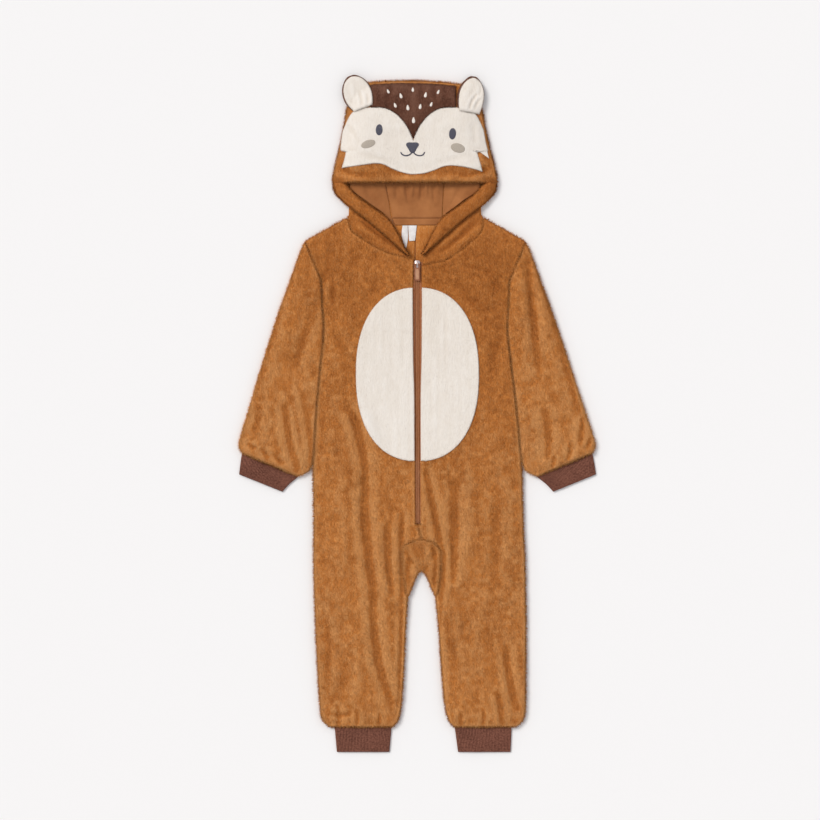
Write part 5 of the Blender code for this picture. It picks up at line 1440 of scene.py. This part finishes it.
# Belly: a cream oval of short plush in two halves, one sewn on each front and caught in the zip's seam.
ON_TOP, OVAL_END, BELLY_SHELL, BELLY_PILE = 0.4, 80.5, 1.4, (0.5, 1.3)
for side, word in SIDES.items():
    near_end = OVAL_END - np.array((0.0, 0.3, 0.9, 2.1))
    angles = np.radians(np.concatenate([-near_end, np.linspace(-76.5, 76.5, 84), near_end[::-1]]))
    off = np.sin(angles) / math.sin(math.radians(OVAL_END)) * 0.996
    ys = BELLY_Y + BELLY_HALF_HEIGHT * off
    half = BELLY_HALF_WIDTH * (1 - np.abs(off) ** BELLY_FULLNESS) ** (1 / BELLY_FULLNESS)
    inner, outer = front_inner_x(ys, side) + side * 0.6, smooth(INNER_LINE, ys) + side * half
    steps = across(side * (outer - inner), 2.4, rim=(0.0, 0.4, 1.0, 1.8))
    x = inner[:, None] + side * steps
    y = np.broadcast_to(ys[:, None], x.shape)
    distance, outward = rim_distance(x, y)
    ripple = 0.16 * clumps(x * 2.2, y * 0.14, 12.0, 19) * np.clip(distance / 6, 0, 1)
    z = front_face(x, y, side) + ON_TOP + SHORT_PLUSH + ripple
    z += 0.35 * fluff(x, y, distance) - roll(distance, 1.3)
    belly_top = np.stack([x, y, z], axis=2)
    tones = tones_of(belly_top, distance, edge_light=0.3, reach=1.6) + 0.5 * ripple
    name, under = f"belly_{word}", [f"front_{word}"]
    panel(name, belly_top, BELLY_SHELL, CREAM_PLUSH, tones, (0.09, 0.26), 0.0193, under)
    rim, seed = (distance, outward), 101 + side
    pile(name, belly_top, tones, rim, BELLY_PILE, CREAM_PLUSH, seed, width=SHORT_TUFT_WIDTH)


# Zip: a nylon coil on two woven tapes, sewn under the edges of the fronts. Its metal slider is locked at
# the neck, and the painted pull hangs from the slider's loop.
TAPE_TOP_Y, TAPE_END_Y, TAPE_THICK, CORD_X, CORD_RISE = 226, -166, 0.5, 3.8, 0.34
CHAIN_HALF_WIDTH, COIL_PITCH, COIL_TOP_Y, COIL_LEVEL, COIL_RADIUS, COIL_WIRE = 2.6, 1.45, 218, 7.1, 0.95, 0.5
SLIDER_WIDTH, SLIDER_LENGTH, SLIDER_TOP, PLATE_LOW, RAIL_LOW, PULL_Y = 8.4, 13.0, 10.1, 8.72, 6.55, 223.0
RAIL_X, RAIL_HALF_WIDTH, RAIL_HALF_LENGTH, BAIL_REACH, BAIL_RISE = 3.72, 0.46, 6.2, 2.8, 1.4
BAIL_HALF_WIDTH, BAIL_HALF_THICK = 0.98, 0.48
PULL_WIDTH, PULL_LENGTH, PULL_THICK, PULL_BAR = 8.0, 26.0, 1.3, 1.3
PULL_SLOT_WIDTH, PULL_SLOT_LENGTH, TAB_CORNER, SLOT_CORNER = 3.2, 5.0, 1.3, 0.5
PANEL_HALF_WIDTH, PANEL_HALF_LENGTH, PANEL_Y = 2.3, 7.6, 207.4


def zip_fabric(name, dark, light, roughness, scale, depth):
    """Woven tape and coil thread: slanting rows, with a painted highlight on their crowns."""
    stuff, tree = material(name)
    place = object_place(tree)
    both = maths(tree, "MULTIPLY", wave(tree, place, "DIAGONAL", scale, 1.0), noise(tree, place, 300.0))
    tone = ramp(tree, both, 0.0, dark, 0.7, light)
    finish(tree, {"Base Color": tone, "Roughness": roughness}, both, 0.5, depth)
    return stuff


TAPE_WEAVE = zip_fabric("zip_tape_weave", (0.330, 0.105, 0.036), (0.620, 0.250, 0.100), 0.8, 260.0, 0.0003)
COIL_NYLON = zip_fabric("zip_coil_nylon", (0.500, 0.190, 0.072), (0.760, 0.390, 0.190), 0.45, 420.0, 0.0002)
for side, word in SIDES.items():
    ys = np.linspace(TAPE_TOP_Y, TAPE_END_Y, 131)
    line = smooth(INNER_LINE, ys)[:, None]
    x = line + side * np.array((CHAIN_HALF_WIDTH + SEAM, 3.2, 3.6, 4.2, 5.0, 6.5, 8.5, 11.0, 14.0))[None, :]
    y = np.broadcast_to(ys[:, None], x.shape)
    cord = CORD_RISE * np.exp(-(((np.abs(x - line) - CORD_X) / 0.5) ** 2))
    z = FLOOR_LAYER + BODY_AIR - SEAM - 0.12 + cord
    top = np.stack([x, y, z], axis=2)
    name, under = f"zip_tape_{word}_weave", [f"back_{word}"]
    cloth(name, top, TAPE_THICK, TAPE_WEAVE, (0.0112, 0.392), rests_on=under, slot="zip_fabric")

# the coil: one turn after another on each side, meeting in the middle
# how far out along a turn, thickness there, rise there
COIL_TURN = (
    (2.58, 0.45, -0.30), (2.25, 0.95, -0.05), (1.35, 1.0, 0.0), (0.42, 0.95, -0.05), (0.2, 0.5, -0.35),
)
points, faces = [], []
for side in SIDES:
    for k in range(int((COIL_TOP_Y - TAPE_END_Y) / COIL_PITCH)):
        cy = COIL_TOP_Y - 0.6 - k * COIL_PITCH - (0.0 if side < 0 else COIL_PITCH / 2)
        cx = float(smooth(INNER_LINE, cy))
        turn = ring_faces(len(points), len(COIL_TURN) - 1, 6)
        faces += turn if side < 0 else [face[::-1] for face in turn]
        for reach, fat, lift in COIL_TURN:
            for a in bearings_of(6):
                high = COIL_LEVEL + lift + COIL_RADIUS * fat * math.sin(a)
                points.append((cx + side * reach, cy + COIL_WIRE * fat * math.cos(a), high))
coil = make_piece("zip_coil", points, faces, COIL_NYLON)
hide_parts("zip_chain")
core = ((2.5, 5.45), (2.5, 6.3), (-2.5, 6.3), (-2.5, 5.45))
ys = np.linspace(COIL_TOP_Y, TAPE_END_Y, 65)
points = [(float(smooth(INNER_LINE, y)) + off, y, z) for y in ys for off, z in core]
make_piece("zip_coil_core", points, ring_faces(0, 64, 4), TAPE_WEAVE)


def grained(name, scale, detail, colours, rough, metallic=0.0):
    """Plated or painted metal: smooth, with a faint grain in its colour and shine."""
    stuff, tree = material(name)
    grain = noise(tree, object_place(tree), scale, detail)
    shine = node(tree, "MapRange", {"Value": grain, "To Min": rough[0], "To Max": rough[1]})
    shine = shine.outputs["Result"]
    finish(tree, {"Base Color": ramp(tree, grain, *colours), "Roughness": shine, "Metallic": metallic})
    return stuff


SLIDER_METAL = grained(
    "slider_metal", 500.0, 4.0, (0.0, (0.60, 0.47, 0.44), 1.0, (0.80, 0.69, 0.66)), (0.24, 0.42), 1.0
)


def squared(a, power_x, power_y):
    """Cosine and sine of an angle, pushed out towards a square."""
    c, s = math.cos(a), math.sin(a)
    return math.copysign(abs(c) ** power_x, c), math.copysign(abs(s) ** power_y, s)


def stacked(points, faces, outline, levels):
    """Adds a solid whose outline shrinks and grows from level to level, as pressed or cast metal does."""
    faces += ring_faces(len(points), len(levels) - 1, len(outline))
    cx, cy = np.mean([p[0] for p in outline]), np.mean([p[1] for p in outline])
    for z, inset in levels:
        for px, py in outline:
            far = math.hypot(px - cx, py - cy)
            keep = max(far - inset, 0.1) / far
            points.append((cx + (px - cx) * keep, cy + (py - cy) * keep, z))


middle, slider_y = float(smooth(INNER_LINE, PULL_Y)), PULL_Y - 1.0
points, faces, outline = [], [], []
for a in bearings_of(48):
    px, py = squared(a, 0.55, 0.6)
    px, py = SLIDER_WIDTH / 2 * px, SLIDER_LENGTH / 2 * py
    waist = 1 - 0.16 * math.exp(-(((py + 1.5) / 2.6) ** 2)) - 0.12 * (py < -4)
    outline.append((middle + px * waist, slider_y + py))
stacked(points, faces, outline, (
    (PLATE_LOW, 0.35), (PLATE_LOW, 0.0), (SLIDER_TOP - 0.5, 0.0), (SLIDER_TOP - 0.2, 0.15),
    (SLIDER_TOP, 0.55),
))
for side in SIDES:
    rail = [squared(a, 0.6, 0.4) for a in bearings_of(24)]
    rail_x = middle + side * RAIL_X
    rail = [(rail_x + RAIL_HALF_WIDTH * px, slider_y + RAIL_HALF_LENGTH * py) for px, py in rail]
    stacked(points, faces, rail, ((RAIL_LOW, 0.12), (RAIL_LOW + 0.2, 0.0), (PLATE_LOW + 0.18, 0.0)))
foot, shoulder = SLIDER_TOP - 0.5, SLIDER_TOP + 1.0
arch = np.linspace(0.25, math.pi - 0.25, 11)
arch = [(-BAIL_REACH * math.cos(a), shoulder + BAIL_RISE * math.sin(a)) for a in arch]
arch = [(-BAIL_REACH, foot), (-BAIL_REACH - 0.02, shoulder), *arch]
arch += [(BAIL_REACH + 0.02, shoulder), (BAIL_REACH, foot)]
faces += ring_faces(len(points), len(arch) - 1, 12, capped=False)
for k, (v, z) in enumerate(arch):
    before, after = arch[max(k - 1, 0)], arch[min(k + 1, len(arch) - 1)]
    tv, tz = after[0] - before[0], after[1] - before[1]
    nv, nz = -tz / math.hypot(tv, tz), tv / math.hypot(tv, tz)
    for a in bearings_of(12):
        wide, thick = squared(a, 0.7, 0.7)
        wide, thick = BAIL_HALF_WIDTH * wide, BAIL_HALF_THICK * thick
        points.append((middle + wide, PULL_Y + v + nv * thick, z + nz * thick))
slider = make_piece("zip_slider_cast", points, faces, SLIDER_METAL)
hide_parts("zip_slider")

# the pull: a flat tab with a slot for the loop, enamelled, with a paler panel let into its face
PULL_PAINT = grained(
    "pull_paint", 260.0, 5.0, (0.3, (0.24, 0.080, 0.032), 0.75, (0.34, 0.125, 0.055)), (0.30, 0.48)
)
PULL_PANEL_PAINT = grained(
    "pull_panel_paint", 260.0, 5.0, (0.3, (0.46, 0.22, 0.11), 0.75, (0.58, 0.30, 0.17)), (0.30, 0.48)
)
tab_low = SLIDER_TOP + SEAM
slot_y = PULL_Y - PULL_BAR / 2 - PULL_SLOT_LENGTH / 2
slot_half_width, slot_half_length = PULL_SLOT_WIDTH / 2, PULL_SLOT_LENGTH / 2
top_y, end_y = PULL_Y + PULL_BAR / 2, PULL_Y + PULL_BAR / 2 - PULL_LENGTH


def rounded(half_width, low_y, high_y, corner, a):
    """Where a ray from the slot's middle meets a rectangle with rounded corners."""
    c, s = math.cos(a), math.sin(a)
    room = high_y - slot_y if s > 0 else slot_y - low_y
    reach = min(half_width / max(abs(c), 1e-6), room / max(abs(s), 1e-6))
    px, py = reach * c, slot_y + reach * s
    near_x, near_y = half_width - abs(px), min(high_y - py, py - low_y)
    if near_x < corner and near_y < corner:
        kx, ky = corner - near_x, corner - near_y
        cut = max(math.hypot(kx, ky) - corner, 0.0)
        px -= math.copysign(cut * kx / math.hypot(kx, ky), px)
        py -= math.copysign(cut * ky / math.hypot(kx, ky), py - (low_y + high_y) / 2)
    return px, py


def tab_loop(inset, z):
    """The tab's outline at one height, a little inside its widest."""
    half = PULL_WIDTH / 2 - inset
    return [(*rounded(half, end_y + inset, top_y - inset, TAB_CORNER, a), z) for a in bearings]


def slot_loop(grow, z):
    """The slot's outline at one height, a little outside its narrowest."""
    low, high = slot_y - slot_half_length - grow, slot_y + slot_half_length + grow
    return [(*rounded(slot_half_width + grow, low, high, SLOT_CORNER, a), z) for a in bearings]


bearings = set(bearings_of(96).round(4))
corners = [(PULL_WIDTH / 2, top_y), (PULL_WIDTH / 2, end_y)]
corners += [(slot_half_width, slot_y + slot_half_length), (slot_half_width, slot_y - slot_half_length)]
for corner_x, corner_y in corners:
    for side in SIDES:
        bearings.add(round(math.atan2(corner_y - slot_y, side * corner_x) % (2 * math.pi), 4))
bearings = sorted(bearings)
slot_steps = ((0.25, PULL_THICK), (0.05, 1.18), (0.0, 0.95), (0.0, 0.35), (0.05, 0.12), (0.25, 0.0))
loops = [tab_loop(*step) for step in ((0.0, 0.35), (0.0, 0.95), (0.12, 1.18), (0.38, PULL_THICK))]
loops += [slot_loop(*step) for step in slot_steps]
loops += [tab_loop(*step) for step in ((0.38, 0.0), (0.12, 0.12))]
points = [(middle + px, py, tab_low + z) for loop in loops for px, py, z in loop]
size, faces = len(bearings), ring_faces(0, len(loops), len(bearings), capped=False)
faces = [tuple(n % (size * len(loops)) for n in face) for face in faces]
pull = make_piece("zip_pull_tab", points, faces, PULL_PAINT, body="pull")
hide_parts("zip_pull")
points, faces = [], []
outline = [squared(a, 0.4, 0.28) for a in bearings_of(40)]
outline = [(middle + PANEL_HALF_WIDTH * px, PANEL_Y + PANEL_HALF_LENGTH * py) for px, py in outline]
high = tab_low + PULL_THICK
stacked(points, faces, outline, (
    (high - 0.3, 0.0), (high + 0.10, 0.0), (high + 0.18, 0.12), (high + 0.2, 0.4),
))
make_piece("zip_pull_panel", points, faces, PULL_PANEL_PAINT, body="pull")
